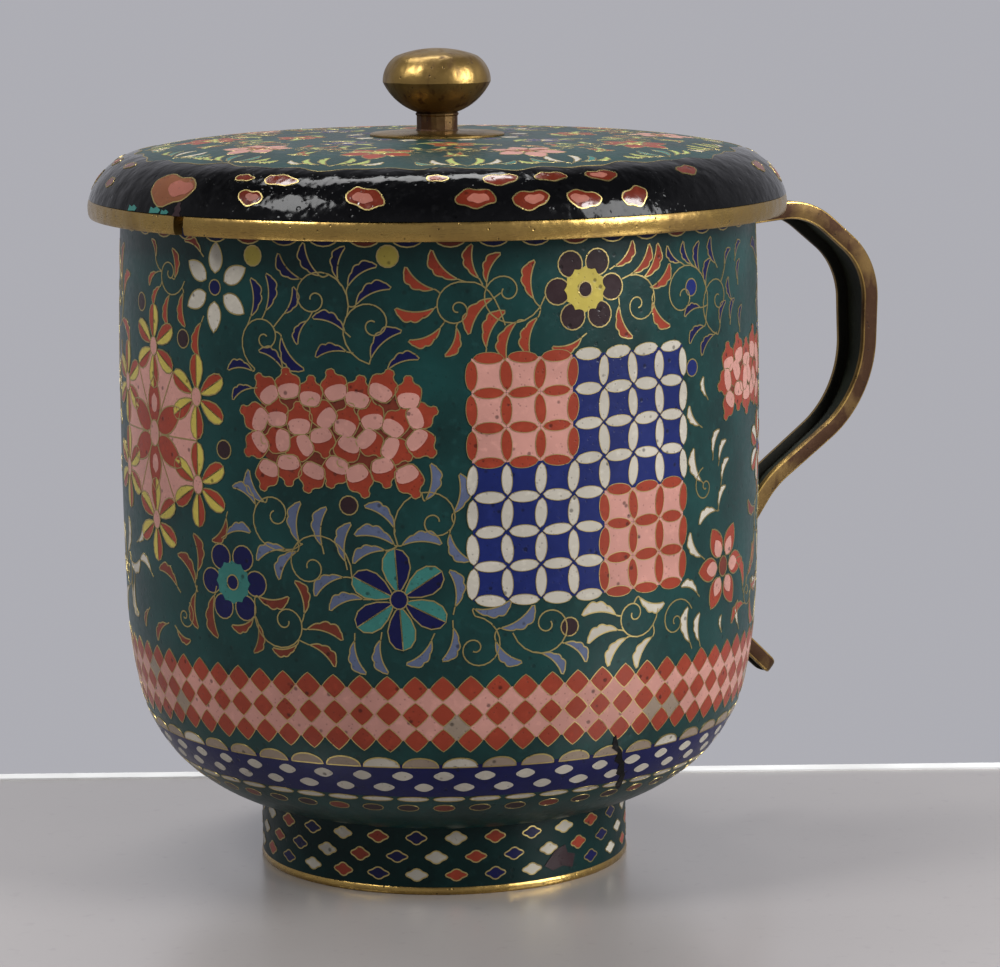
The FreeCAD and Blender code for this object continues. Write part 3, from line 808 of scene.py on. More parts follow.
def spray(work, turn, height, radius, hand, start, tint, side, leaves):
    """A curling stem with leaves set one by one: the direction and distance of the root from the middle
    of the curl, the way that the leaf points, and its length, below zero where it bows against the side."""
    place = work.place(turn, height)
    nearest = draw_curl(work, place, radius, hand, start)
    for angle, distance, way, length in leaves:
        root = polar(angle, distance)
        bow = side if length > 0 else -side
        back = polar(way - bow * STALK_LEAN, 1.1)
        near = root[0] - back[0], root[1] - back[1]
        stem = nearest(near)
        if math.dist(stem, near) > 2.2 * MM:
            stem = None
        draw_leaf(work, place, root, way, abs(length) * 0.96 * MM, tint, bow, stem)


def bloom(work, place, petals, outline, reach, tint, start, layer=0, wired=True):
    """Petals round a place, each with its root at a reach from the middle."""
    for number in range(petals):
        angle = start + 360 * number / petals
        work.cell(place, pointed(outline, angle, polar(angle, reach)), tint, layer, wired)


def round_flower(work, place, tint, disc, scale=1.0):
    """Six round petals behind a scalloped disc with a dark eye."""
    size = MM * scale
    bloom(work, place, 6, oval(3.9 * size, 3.9 * size), 4.4 * scale, tint, 122)
    rim = ringed(6.3 * size, 6.3 * size, 36, lambda angle: 1 + 0.07 * math.cos(12 * angle))
    work.cell(place, rim, disc, 1, False)
    work.cell(place, oval(2.2 * size, 2.3 * size), tint, 2)


# Right half of a star flower's petal as shares of its width and length: up its side and down its middle.
HALF_PETAL_SHARES = [
    (0.0, 0.0), (0.16, 0.10), (0.36, 0.30), (0.49, 0.55), (0.45, 0.78), (0.27, 0.94), (0.0, 1.0),
    (0.0, 0.8), (0.0, 0.6), (0.0, 0.4), (0.0, 0.2),
]


def star_flower(work, place, length, halves, eye, start, width, eye_size=(2.6, 2.8)):
    """Six petals, each split along its middle into two colours, round a small eye."""
    right = [(u * width * MM, v * length * MM) for u, v in HALF_PETAL_SHARES]
    left = [(-u, v) for u, v in right[::-1]]
    for number in range(6):
        angle = start + 60 * number
        root = polar(angle, 1.0)
        work.cell(place, pointed(right, angle, root), halves[0], 1)
        work.cell(place, pointed(left, angle, root), halves[1], 1)
    work.cell(place, oval(eye_size[0] * MM, eye_size[1] * MM, 14), eye, 2)


def petal_cluster(work, place, half_width, half_height, rng):
    """A bank of pink petals with red crests that point away from its middle."""
    field = oval((half_width - 0.8) * 2 * MM, (half_height - 1.2) * 2 * MM, 36)
    work.cell(place, field, "russet", -0.9, False, 9)
    rows = round(half_height / 2.0)
    for row in range(rows):
        v = half_height * (1 - (2 * row + 1) / rows)
        reach = half_width * math.sqrt(1.06 - 0.5 * (v / half_height) ** 2)
        count = max(2, round(2 * reach / 3.9))
        for column in range(count):
            u = reach * ((2 * column + 1) / count - 1)
            inner = abs(v) < half_height * 0.5 and abs(u) < half_width * 0.7
            sway = rng.uniform(-22, 22) * (2 if inner else 1)
            angle = math.degrees(math.atan2(v * 2.2 + 0.3, u * 0.5)) + sway
            wide, high = rng.uniform(3.8, 4.3) * MM, rng.uniform(4.5, 5.2) * MM
            dip = 0.5 if column % 2 else -0.5
            back = polar(angle, 2.2)
            root = (u * MM - back[0], (v + dip) * MM - back[1])
            whole, below = [pointed(part, angle, root) for part in shield(wide, high)]
            work.cell(place, whole, "red", 0.4 + (row + column) % 2 * 0.4, 0.8)
            work.cell(place, below, "pink", 1.6, False)


def lattice(work, place, count, pitch, zone, rng):
    """Squares of blue and pink under rows of petals; the zone says which squares are pink and red."""
    half = pitch * 0.495 * MM
    square = fine_outline([(half, -half), (half, half), (-half, half), (-half, -half)], 4)
    squares = [(column, row) for column in range(count) for row in range(count)]
    for column, row in squares:
        middle = (column + 0.5) * pitch * MM, -(row + 0.5) * pitch * MM
        tint = "pink" if zone(column, row) else "cobalt"
        work.cell(place, swung(square, 0.0, middle), tint, 0, False, 3)
    for column in range(count + 1):
        for row in range(count + 1):
            for along, cross in ((1, 0), (0, 1)):
                if column + along > count or row + cross > count:
                    continue
                beside = (column, row), (column - cross, row - along)
                warm = any(near in squares and zone(*near) for near in beside)
                u, v = (column + along / 2) * pitch * MM, -(row + cross / 2) * pitch * MM
                shape = lens(pitch * rng.uniform(0.31, 0.36) * MM, pitch * rng.uniform(0.84, 0.92) * MM)
                tilt = math.radians(90 * along + rng.uniform(-6, 6))
                work.cell(place, swung(shape, tilt, (u, v)), "red" if warm else "white", 1.2, 0.5)


def medallion(work, turn, height, radius):
    """Pink fields round a red flower, with a split-petal flower on each corner."""
    place = work.place(turn, height)
    corners = [polar(30 * n, radius * (0.97 if n % 2 else 0.86)) for n in range(12)]
    work.cell(place, fine_outline(corners, 3), "pink", 0, True, 10)
    for number in range(6):
        angle = 90 + 60 * number
        work.cell(place, pointed(petal(3.9 * MM, 7.6 * MM), angle, polar(angle, 1.2)), "red", 1)
        side = polar(angle + 30, radius * 0.86)
        work.wire(place, [(side[0] * n / 8, side[1] * n / 8) for n in range(2, 9)], False, 1)
    work.cell(place, oval(2.9 * MM, 4.0 * MM, 14), "pink", 2)
    across = math.degrees(radius * MM / work.profile.at(place[1])[0])
    for number in range(6):
        angle = math.radians(90 + 60 * number)
        corner = work.place(turn + across * math.cos(angle), height + radius * math.sin(angle))
        star_flower(work, corner, 5.4, ("yellow", "red"), "pink", 90, 2.9, (2.2, 2.9))


# Ornament of the front, in degrees round from the front and millimetres up. Places are the middles of
# dots, curls and flowers.
DOTS = [
    (-33, 99.6, 1.5, "yellow"), (-8.5, 100, 1.6, "yellow"), (-15.5, 63.7, 1.4, "aubergine"),
    (22, 45, 1.4, "aubergine"), (-39.5, 70.7, 1.4, "aubergine"), (-49.5, 86.5, 1.4, "aubergine"),
    (-64, 91, 1.4, "aubergine"), (85.5, 58.5, 1.3, "yellow"), (-84, 64, 1.3, "yellow"),
    (48.5, 81.5, 1.3, "cobalt"), (48.6, 93.5, 1.3, "cobalt"),
]
# Each spray has its turn, height, curl radius, hand, direction of the curl's end, colour, side and leaves.
SPRAYS = [
    (-53.5, 96, 4.0, 1, -13, "red", 1, [
        (-26, 1.5, 101, 4.6), (-37, 4.5, -83, 5.2), (-41, 10.3, -95, 5.5), (270, 3.3, -95, 4.8),
        (219, 3.6, 239, 3.8), (183, 4.0, 225, 3.2), (153, 4.7, 120, 3.0), (25, 8.4, 160, 4.2)]),
    (-30.7, 87.6, 4.8, 1, 250, "midnight", 1, [
        (127, 3.9, 92, 5.8), (86, 4.1, 91, 5.6), (48, 5.1, 71, 4.4), (8, 3.0, -50, 6.2),
        (-54, 5.3, 151, 4.9), (247, 5.3, 183, 4.8), (254, 7.7, 210, 4.3)]),
    (-21.2, 93.7, 5.6, -1, 333, "midnight", -1, [
        (39, 4.7, 75, 5.0), (75, 3.5, 117, 5.6), (127, 3.6, 134, 5.3), (20, 5.5, 33, 5.5),
        (-7, 6.4, 24, 6.0), (-45, 6.6, 161, -5.5), (-57, 9.0, 193, -5.0), (250, 3.5, 248, -3.9)]),
    (-11.2, 90.0, 5.6, 1, 266, "midnight", -1, [
        (-92, 4.8, 40, 6.3), (-71, 6.8, 18, 5.1)]),
    (3, 92.4, 4.1, -1, 70, "red", -1, [
        (88, 4.3, 130, 5.9), (54, 5.4, 99, 5.2), (139, 4.4, 140, 5.4), (177, 3.3, 179, 5.9),
        (227, 3.6, 201, 5.2), (266, 2.7, 246, 4.6), (15, 5.4, 237, -6.5), (-54, 7.1, 60, 6.2)]),
    (11.3, 94.7, 5.8, 1, 352, "red", -1, [
        (-72, 4.6, 254, -5.9), (-40, 6.0, 257, -5.8), (-16, 4.2, 86, 5.8), (155, 3.2, 62, 4.9),
        (-32, 13.4, 192, 5.0)]),
    (35.7, 91.9, 4.8, 1, 127, "red", 1, [
        (125, 7.1, 49, 5.0), (101, 4.7, 53, 5.4), (73, 4.0, 61, 5.8), (43, 3.3, 41, 5.4),
        (4, 2.8, -46, 5.5), (180, 3.4, -63, 5.6)]),
    (46.5, 92.4, 6.6, -1, 326, "midnight", -1, [
        (98, 5.1, 134, 3.8), (67, 5.0, 115, 4.0), (40, 5.2, 87, 4.6), (10, 5.7, 68, 4.4),
        (-28, 4.5, 197, -4.1), (-46, 7.0, 214, -4.4), (-41, 10.0, 222, -4.5), (26, 9.5, 105, 4.4)]),
    (56.8, 91.2, 5.4, 1, 268, "midnight", -1, [
        (-81, 4.0, 58, 4.0), (-7, 4.8, 105, 3.8), (62, 5.5, 45, 3.2), (41, 8.7, 40, 3.4),
        (16, 7.7, 70, 3.4), (-41, 5.5, 60, 3.6), (-33, 9.4, 70, 3.6)]),
    (52.2, 63.2, 3.0, -1, 100, "white", -1, [
        (135, 1.3, 109, 5.8), (99, 9.6, 126, 4.2), (88, 13.6, 103, 3.3), (64, 5.1, 60, 4.2),
        (40, 5.3, 50, 3.8), (4, 4.9, 50, 4.0), (-42, 5.4, 50, 3.8), (-53, 5.2, 200, -5.0),
        (266, 10.6, 124, 5.2)]),
    (-1.2, 61.5, 6.4, 1, 214, "lavender", 1, [
        (111, 3.4, 83, 5.6), (23, 3.0, 82, 6.1), (-37, 2.9, -54, 5.2), (217, 5.9, 0, -6.0),
        (190, 5.9, 146, 5.6), (211, 6.8, 169, 6.3), (211, 8.4, 205, 5.4), (-77, 13.0, 100, 5.7)]),
    (-22.3, 54.4, 6.4, -1, 347, "lavender", 1, [
        (138, 3.1, 237, 5.6), (-16, 5.1, 216, 5.6), (-30, 9.1, 202, 5.7)]),
    (-29, 61.6, 6.0, 1, 319, "lavender", -1, [
        (133, 2.6, 119, 5.6), (158, 3.7, 153, -5.0), (202, 9.9, 8, 5.0), (-43, 5.4, 85, 6.2),
        (-28, 8.6, 80, 6.0), (-29, 12.8, 79, 6.0), (-72, 5.2, 204, -5.6)]),
    (5.5, 42.6, 4.8, 1, 90, "lavender", 1, [
        (91, 5.9, 12, 5.7), (38, 4.7, 34, 6.2), (18, 3.2, -39, 5.4)]),
    (18, 45.6, 5.4, -1, 190, "lavender", -1, [
        (-49, 4.0, -43, 5.0), (258, 4.4, -47, 5.0)]),
    (-27.6, 45.8, 5.6, -1, 158, "russet", -1, [
        (143, 5.8, 5, -5.6), (24, 3.5, 108, -5.2), (-14, 3.7, -15, 6.0), (-39, 5.1, -40, 5.2),
        (-61, 3.8, 190, 4.4), (188, 4.8, 256, 4.8), (180, 5.6, 198, 4.6)]),
    (34.8, 45.7, 4.6, 1, 5, "white", 1, [
        (175, 3.4, 177, 6.0), (214, 3.6, 198, 5.6), (247, 3.7, 234, 5.2), (-48, 5.2, 240, 5.4),
        (70, 2.7, -15, 5.4)]),
    (44.5, 43.6, 4.0, -1, 20, "white", -1, [
        (-47, 5.2, 96, 5.8), (-34, 7.2, 90, 4.6), (-15, 12.8, 90, 2.4), (35, 6.1, 160, -4.4),
        (-11, 19.5, 97, 4.2)]),
    (-50.9, 44.4, 2.6, 1, 60, "russet", 1, [
        (64, 8.1, 99, 5.9), (61, 6.0, 138, 6.0), (112, 4.6, 161, 5.8), (53, 5.0, -86, 5.7),
        (30, 8.4, -85, 6.8), (226, 3.3, -17, 3.8), (201, 5.8, 225, 4.7), (184, 11.6, 243, 3.4),
        (58, 19.0, 229, -5.0)]),
]
# Each scroll has the same without a side, and its leaves are only directions and distances.
SCROLLS = [
    (-80, 90, 3.2, -1, 240, "red", [(20, 7), (60, 7), (100, 7), (150, 7), (200, 7), (320, 7)]),
    (-77, 48, 2.6, 1, 60, "white", [(30, 6), (80, 6), (130, 6), (190, 6), (250, 6), (320, 6)]),
    (80, 55, 2.8, -1, 100, "russet", [(20, 6), (80, 6), (150, 6.4), (220, 6.4), (300, 6)]),
    (71, 44.5, 2.2, 1, 30, "red", [(15, 5.4), (75, 5), (150, 5.4), (215, 4.6), (325, 5)]),
    (84.5, 45, 2.0, -1, 120, "white", [(100, 5), (160, 5.4), (220, 5), (290, 4.6)]),
    (85.4, 79.5, 2.0, 1, 60, "lavender", [(80, 5.4), (140, 4.6), (205, 5), (275, 5.4)]),
    (-83.5, 78, 2.2, 1, 60, "lavender", [(60, 5), (115, 5.4), (240, 5), (300, 5.4), (0, 4.6)]),
    (84, 95, 2.8, 1, 100, "midnight", [(40, 6), (100, 6), (170, 6.4), (260, 6.4), (320, 6)]),
]
# Single leaves round the flower and beside the spray at two places: direction and distance of the root, the
# way that the leaf points, its length, colour and side.
BLUE_STAR = (-7.2, 49.9)
LOW_SPRAY = (-50.9, 44.4)
SINGLE_LEAVES = [
    (BLUE_STAR, 223, 9.2, -70, 5.2, "lavender", 1), (BLUE_STAR, 245, 6.6, -77, 5.2, "lavender", 1),
    (BLUE_STAR, -52, 7.6, 222, 5.2, "lavender", -1), (BLUE_STAR, -28, 8.9, 250, 5.2, "lavender", -1),
    (LOW_SPRAY, 152, 11.2, 165, 4.6, "white", 1), (LOW_SPRAY, 148, 17.8, 49, 3.9, "white", 1),
    (LOW_SPRAY, 172, 18.4, -80, 5.1, "white", 1),
]
LATTICE_COUNT = 7
LATTICE_PITCH = 5.09


def pink_zone(column, row):
    """Whether a square of the lattice lies in its upper left or lower right field."""
    return (column < 3 and row < 3) or (3 < column and 3 < row)


def front_field(work, rng):
    """The ornament of one half of the wall, as it stands on the side towards the camera."""
    at = work.place
    for turn, height, radius, tint in DOTS:
        work.cell(at(turn, height), oval(radius * 2 * MM, radius * 2 * MM, 14), tint)
    for motif in SPRAYS:
        spray(work, *motif)
    for motif in SCROLLS:
        scroll(work, *motif, rng)
    for spot, angle, distance, way, size, tint, side in SINGLE_LEAVES:
        draw_leaf(work, at(*spot), polar(angle, distance), way, size * MM, tint, side)
    work.wire(at(3, 92.4), curve(polar(70, 4.1), polar(40, 6.6), polar(-20, 7.4)))

    bloom(work, at(-41.3, 94.6), 6, petal(2.7 * MM, 4.6 * MM), 2.1, "white", 88)
    work.cell(at(-41.3, 94.6), oval(2.3 * MM, 2.3 * MM, 14), "midnight")
    medallion(work, -59, 71.5, 13.2)
    petal_cluster(work, at(-17.8, 74.4), 14.6, 8.4, rng)
    petal_cluster(work, at(69.2, 78.8), 10.5, 5.4, rng)
    round_flower(work, at(25.2, 94.6), "aubergine", "yellow")
    round_flower(work, at(-38.2, 50.9), "midnight", "turquoise", 0.98)
    star_flower(work, at(*BLUE_STAR), 6.6, ("midnight", "turquoise"), "midnight", 94, 4.2)
    star_flower(work, at(78.5, 66.5), 4.6, ("white", "red"), "cobalt", 90, 3.2, (2.2, 2.4))
    red_bloom = at(58.7, 50.2)
    bloom(work, red_bloom, 6, petal(3.6 * MM, 5.3 * MM), 1.8, "red", 60)
    bloom(work, red_bloom, 6, petal(2.3 * MM, 3.1 * MM), 1.9, "pink", 60, 1, False)
    work.cell(red_bloom, oval(2.6 * MM, 3.2 * MM, 14), "russet", 1)
    lattice(work, at(5.2, 85.2), LATTICE_COUNT, LATTICE_PITCH, pink_zone, rng)


# Rows right round the wall: how many cells, the turn of the first one in degrees and the height.
ARCH_ROW = (50, 2, 103.05)
BEAD_ROW = (50, 3, 24.1)
DOT_ROWS = ((47, 0, 22.6), (47, 180 / 47, 20.6))
WHITE_ROW = (50, 1, 18.4)
DULL_ROW = (48, 0, 16.6)
# Heights of the lower and the upper edge of the navy band.
NAVY_BAND = (18.9, 24.5)
# The diamonds: how many there are, and the height of their middles.
DIAMOND_COUNT = 76
DIAMOND_MIDDLE = 32.5


def diamond_band(work, rng):
    """Three rows of red diamonds with pink ones between them."""
    pitch = sizes().diamond_height
    middle = work.profile.at_height(DIAMOND_MIDDLE * MM)
    for number in range(DIAMOND_COUNT):
        for row in (-1, 0, 1):
            sway = rng.uniform(-0.12, 0.12) * MM
            place = (number * 360 / DIAMOND_COUNT, middle + row * pitch + sway)
            wide = math.tau * work.profile.at(place[1])[0] / DIAMOND_COUNT
            skew = rng.uniform(0.93, 1.02)
            work.cell(place, diamond(wide * 0.95 * skew, pitch * 0.96 * skew), "red", 0.3, 0.65, 2)
        for row in (-0.5, 0.5):
            place = ((number + 0.5) * 360 / DIAMOND_COUNT, middle + row * pitch)
            wide = math.tau * work.profile.at(place[1])[0] / DIAMOND_COUNT
            tint = "beige" if rng.random() < 0.12 else "pink"
            work.cell(place, diamond(wide * 1.05, pitch * 1.05), tint, 0, False, 2)


def wall_bands(work, rng):
    """Rows that run right round the wall: arches under its rim, and the rows low on it."""
    arch = swung(half_oval(5.0 * MM, 1.75 * MM), math.pi)
    for number, place in work.row(*ARCH_ROW):
        work.cell(place, arch, "midnight" if number % 3 else "russet")
    diamond_band(work, rng)
    low, high = [work.profile.at_height(height * MM) for height in NAVY_BAND]
    work.hoop(low, high, "navy", 0.3)
    for number, place in work.row(*BEAD_ROW):
        wide = rng.uniform(4.9, 5.5) * MM
        work.cell(place, half_oval(wide, 1.65 * MM, 12), "beige" if number % 6 else "white", 1)
    for row in DOT_ROWS:
        for number, place in work.row(*row):
            work.cell(place, quatrefoil(rng.uniform(2.7, 3.2) * MM, 1.75 * MM, 0.05), "white", 1.5, False)
    for number, place in work.row(*WHITE_ROW):
        work.cell(place, oval(4.6 * MM, 1.1 * MM, 12), "white", 1)
    for number, place in work.row(*DULL_ROW):
        work.cell(place, oval(3.2 * MM, 1.9 * MM, 12), "aubergine" if number % 3 else "russet", 0, 0.7)


def damage(work, place, points, across, along, tint, layer):
    """A worn or cracked place without a wire, from points as shares of its size across and along."""
    work.cell(place, [(u * across * MM, v * along * MM) for u, v in points], tint, layer, False)


# Turn and height of the crack low on the wall.
CRACK_PLACE = (36.3, 22.0)
# That crack from its upper left end down: places across and along, and half its width.
CRACK_LINE = [
    (-3.6, 5.6, 0.1), (-3.1, 3.6, 0.4), (-1.8, 2.6, 0.25), (-1.5, 1.0, 0.5), (-0.4, 0.2, 0.35),
    (0.2, -1.8, 0.55), (1.3, -2.6, 0.3), (1.7, -4.6, 0.5), (2.8, -6.2, 0.15),
]


def wall_crack(work):
    """A dark slanting crack with worn edges low on the right of the wall."""
    left = [(u - 1.6 * wide, v) for u, v, wide in CRACK_LINE]
    right = [(u + 1.6 * wide, v + 0.2) for u, v, wide in CRACK_LINE[::-1]]
    damage(work, work.place(*CRACK_PLACE), left + right, 0.85, 1.0, "black", 2.6)


# Rows of the foot from above: heights, cells in a row, and the row and number of the cell that is missing.
FOOT_ROWS = (8.95, 5.95, 3.15)
FOOT_COUNT = 30
MISSING_CELL = (2, 4)
# Turn and height of the chip in the enamel of the foot, and its outline.
CHIP_PLACE = (37.5, 4.0)
FOOT_CHIP = [
    (-2.6, -0.6), (-1.2, -1.4), (0.6, -1.0), (2.4, -1.5), (2.9, 0.2), (1.3, 0.6), (1.0, 1.7), (-0.8, 1.2),
    (-1.5, 0.5),
]


def foot_band_ornament(work, rng):
    """Three rows of small four-lobed cells round the foot, with one colour to each slanting line.
    One cell of the lowest row is missing, where the enamel has chipped."""
    tints = ["white", "red", "midnight"]
    half_step = 180 / FOOT_COUNT
    for row, height in enumerate(FOOT_ROWS):
        for number, place in work.row(FOOT_COUNT, 3.5 - row * half_step, height):
            if (row, number) == MISSING_CELL:
                continue
            shape = quatrefoil(rng.uniform(3.2, 3.6) * MM, rng.uniform(1.8, 2.1) * MM)
            work.cell(place, shape, tints[number % 3], 0.4)
    damage(work, work.place(*CHIP_PLACE), FOOT_CHIP, 1.1, 1.2, "aubergine", 2.4)


# Lid ornament

# Clouds on the near side of the lid: degrees round from the front, radius and width.
NEAR_CLOUDS = [
    (-70.5, 52.7, 3.4), (-69.7, 49.7, 4.2), (-48.4, 52.3, 10.8), (-33.8, 50.3, 3.6), (-30.9, 52.9, 4.6),
    (-26.6, 50.5, 6.0), (-11.2, 52.8, 6.2), (-0.1, 49.9, 3.4), (6.0, 52.9, 6.4), (10.2, 50.2, 5.6),
    (14.4, 53.0, 6.0), (19.1, 50.0, 5.4), (23.2, 53.1, 5.8), (28.2, 50.1, 5.6), (32.4, 53.2, 5.0),
    (47.0, 50.2, 4.6), (72.9, 51.2, 4.6),
]


def lid_clouds(work, rng):
    """Small clouds on the black side of the lid, in two uneven rows; the far ones are drawn by lot."""
    clouds = list(NEAR_CLOUDS)
    for number in range(21):
        turn = 84 + number * 9.4 + rng.uniform(-1.5, 1.5)
        if rng.random() < 0.85:
            clouds.append((turn, 52.9, rng.uniform(5.0, 6.4)))
        if rng.random() < 0.6:
            clouds.append((turn + 4.6, 50.0, rng.uniform(4.2, 5.6)))
    for turn, radius, width in clouds:
        place = (turn, work.profile.at_radius((radius - 0.1) * MM))
        high = width * (0.6 if radius > 51 else 0.47) * rng.uniform(0.9, 1.15)
        outline = cloud(width * 0.94 * MM, high * MM, rng.uniform(-0.6, 0.6), rng.uniform(-0.3, 0.3))
        large = width > 9
        work.cell(place, outline, "amber" if large else "glossy_red", 3.4, True, 3)
        shift = (0.18 if large else rng.uniform(-0.12, 0.12)) * width * MM
        heart = [(u * 0.55 + shift, v * 0.5) for u, v in outline]
        if large or rng.random() < 0.6:
            work.cell(place, heart, "rose", 4.6, False, 2)


# The crack through the lid band: its turn in degrees, and its width.
LID_CRACK_TURN = -44.2
LID_CRACK_WIDTH = 2.1
# The rift in the enamel above that crack, and the flakes beside it: turns, and each flake's scale.
RIFT_TURN = LID_CRACK_TURN - 0.6
FLAKES = ((-47.7, 0.8), (-50.3, 1.2), (-56.8, 1.1))
RIFT = [
    (-0.7, -0.2), (0.8, -0.2), (0.5, 0.5), (0.7, 1.1), (0.2, 1.7), (0.4, 2.6), (-0.1, 3.2), (-0.2, 2.2),
    (-0.5, 1.5), (-0.3, 0.8),
]
FLAKE = [(-1.0, 0.0), (0.9, 0.1), (1.2, 0.5), (0.3, 0.9), (-0.2, 0.6), (-0.9, 0.8)]


def lid_crack(work):
    """Where the enamel has chipped over the crack in the band: a dark rift and green flakes."""
    base = work.profile.along[0]
    damage(work, (RIFT_TURN, base), RIFT, 1.3, 0.7, "aubergine", 3.2)
    for turn, scale in FLAKES:
        damage(work, (turn, base), FLAKE, scale, scale, "turquoise", 3.2)


# Radii on the lid: the upper edge of the black side, then the rings of leaves, flowers, curls
# and petals inside it.
BLACK_EDGE = 46.9
LEAF_RING = 45.2
LARGE_FLOWER_RING = 35.2
CURL_RING = 33.4
SMALL_FLOWER_RING = 21.5
PETAL_RING = 14.4


def lid_side(work):
    """The black side of the lid, whose upper edge is a wavy line."""
    def edge(angle):
        ripples = 0.45 * math.sin(23 * angle) + 0.35 * math.sin(41 * angle + 1)
        return (ripples + 0.5 * math.sin(9 * angle + 2)) * MM

    high = work.profile.at_radius(BLACK_EDGE * MM)
    work.hoop(work.profile.along[0], high, "black", 1.2, 0.6, edge, 16, 360)
    work.hoop_wire(high, edge, 1)


def ring(work, count, shift, radius):
    """Numbered turns and places round the lid at a radius, the first of them shifted from the front."""
    along = work.profile.at_radius(radius * MM)
    return [(n, n * 360 / count + shift, along) for n in range(count)]


def lid_top(work, rng):
    """Leaf sprays inside the border, and flowers and scrolls on the green top of the lid."""
    for number, turn, along in ring(work, 16, 4, LEAF_RING):
        place = (turn + rng.uniform(-3, 3), along)
        for side in (-1, 1):
            for step, (reach, lean) in enumerate(((0.6, 16), (2.5, 40), (4.6, 62))):
                root = (side * reach * MM, (0.5 + step * 0.2) * MM)
                tint = ("leaf", "white", "turquoise", "leaf")[(number + step) % 4]
                draw_leaf(work, place, root, 90 - side * lean, (4.4 - step * 0.5) * MM, tint, side)
    curls_along = work.profile.at_radius(CURL_RING * MM)
    for number, turn, along in ring(work, 10, 22, LARGE_FLOWER_RING):
        petals, eye, leaves = ("red", "yellow", "leaf") if number % 2 else ("pink", "red", "red")
        bloom(work, (turn, along), 6, petal(3.2 * MM, 4.4 * MM), 1.3, petals, 30)
        work.cell((turn, along), oval(2.6 * MM, 2.6 * MM, 14), eye, 1)
        for side in (-1, 1):
            curl = (turn + side * 12.5, curls_along)
            work.wire(curl, spiral(2.5 * MM, side, math.radians(90 + side * 60)))
            for angle in (40, 90, 140, 215, 325):
                draw_leaf(work, curl, polar(angle, 3.0), angle - side * 20, 4.4 * MM, leaves, side)
    for number, turn, along in ring(work, 8, 6, SMALL_FLOWER_RING):
        petals, eye = ("cobalt", "white") if number % 2 else ("red", "yellow")
        bloom(work, (turn, along), 5, petal(2.6 * MM, 3.2 * MM), 1.0, petals, 90)
        work.cell((turn, along), oval(2.0 * MM, 2.0 * MM, 12), eye, 1)
        for side in (-1, 1):
            beside = (turn + side * 15, work.profile.at_radius((SMALL_FLOWER_RING + 1 + side * 2) * MM))
            draw_leaf(work, beside, (0.0, 0.0), 90 + side * 70, 4.8 * MM, "leaf", side)
    for number, turn, along in ring(work, 18, 0, PETAL_RING):
        work.cell((turn, along), petal(3.2 * MM, 3.0 * MM), "white" if number % 2 else "cobalt")


# Handle

# Corners of the back face of the strap from the upper pad to the tail: reach, height and bend radius.
STRAP_ROUTE = [
    (50.4, 100.7, 0.0), (67.0, 102.0, 14.0), (80.8, 91.0, 14.0), (80.8, 67.4, 20.0),
    (61.6, 54.0, 15.0), (53.3, 42.0, 8.0), (53.3, 32.8, 8.0), (63.0, 23.9, 0.0),
]
STRAP_TOP_HALF = 5.1
STRAP_TIP_HALF = 1.7
STRAP_THICKNESS = 2.9
STRAP_STEP = 0.5
STRAP_WAVER = 0.06
TIP_THINNING = 0.35
SOLID_TIP = 3.2


def bent_route(corners, step):
    """Evenly spaced points along straight runs joined by tangent bends."""
    places = [Vector((x * MM, z * MM)) for x, z, bend in corners]
    ways = [(b - a).normalized() for a, b in zip(places, places[1:])]
    runs = []
    start = places[0]
    for corner, (before, after), place in zip(corners[1:], zip(ways, ways[1:]), places[1:]):
        turn = before.angle_signed(after)
        back = corner[2] * MM * math.tan(abs(turn) / 2)
        bend_start, bend_end = place - before * back, place + after * back
        runs += [(start, bend_start, 0.0), (bend_start, bend_end, -turn)]
        start = bend_end
    runs.append((start, places[-1], 0.0))
    points = []
    for first, last, turn in runs:
        count = max(2, round((last - first).length / step))
        points += arc_points(tuple(first), tuple(last), turn, count)
    return points + [tuple(places[-1])]


def strap_section(half, thickness):
    """Half-round-edged channel: across the strap and down from its back face, anticlockwise."""
    lip = min(1.0 * MM, half * 0.42)
    web = thickness * 0.42
    edge = min(0.3 * MM, thickness * 0.3)
    inner = half - lip
    right = [
        (half - edge, 0.0), (half - edge * 0.3, -edge * 0.3), (half, -edge), (half, edge - thickness),
        (half - edge * 0.3, edge * 0.3 - thickness), (half - edge, -thickness),
        (inner + edge * 0.6, -thickness), (inner, edge * 0.6 - thickness),
        (inner - 0.1 * MM, -web - 0.15 * MM), (inner - 0.5 * MM, -web),
    ]
    return both_sides([(max(u, 0.05 * MM), v) for u, v in right])


STRAP_FINISHES = ["strap", "strap_side", "strap_lip", "channel", "verdigris"]
# Which finish each side of the section has, from its first point right round.
SECTION_FINISHES = [0, 0, 1, 2, 2, 2, 3, 3, 3, 4, 3, 3, 3, 2, 2, 2, 1, 0, 0, 0]


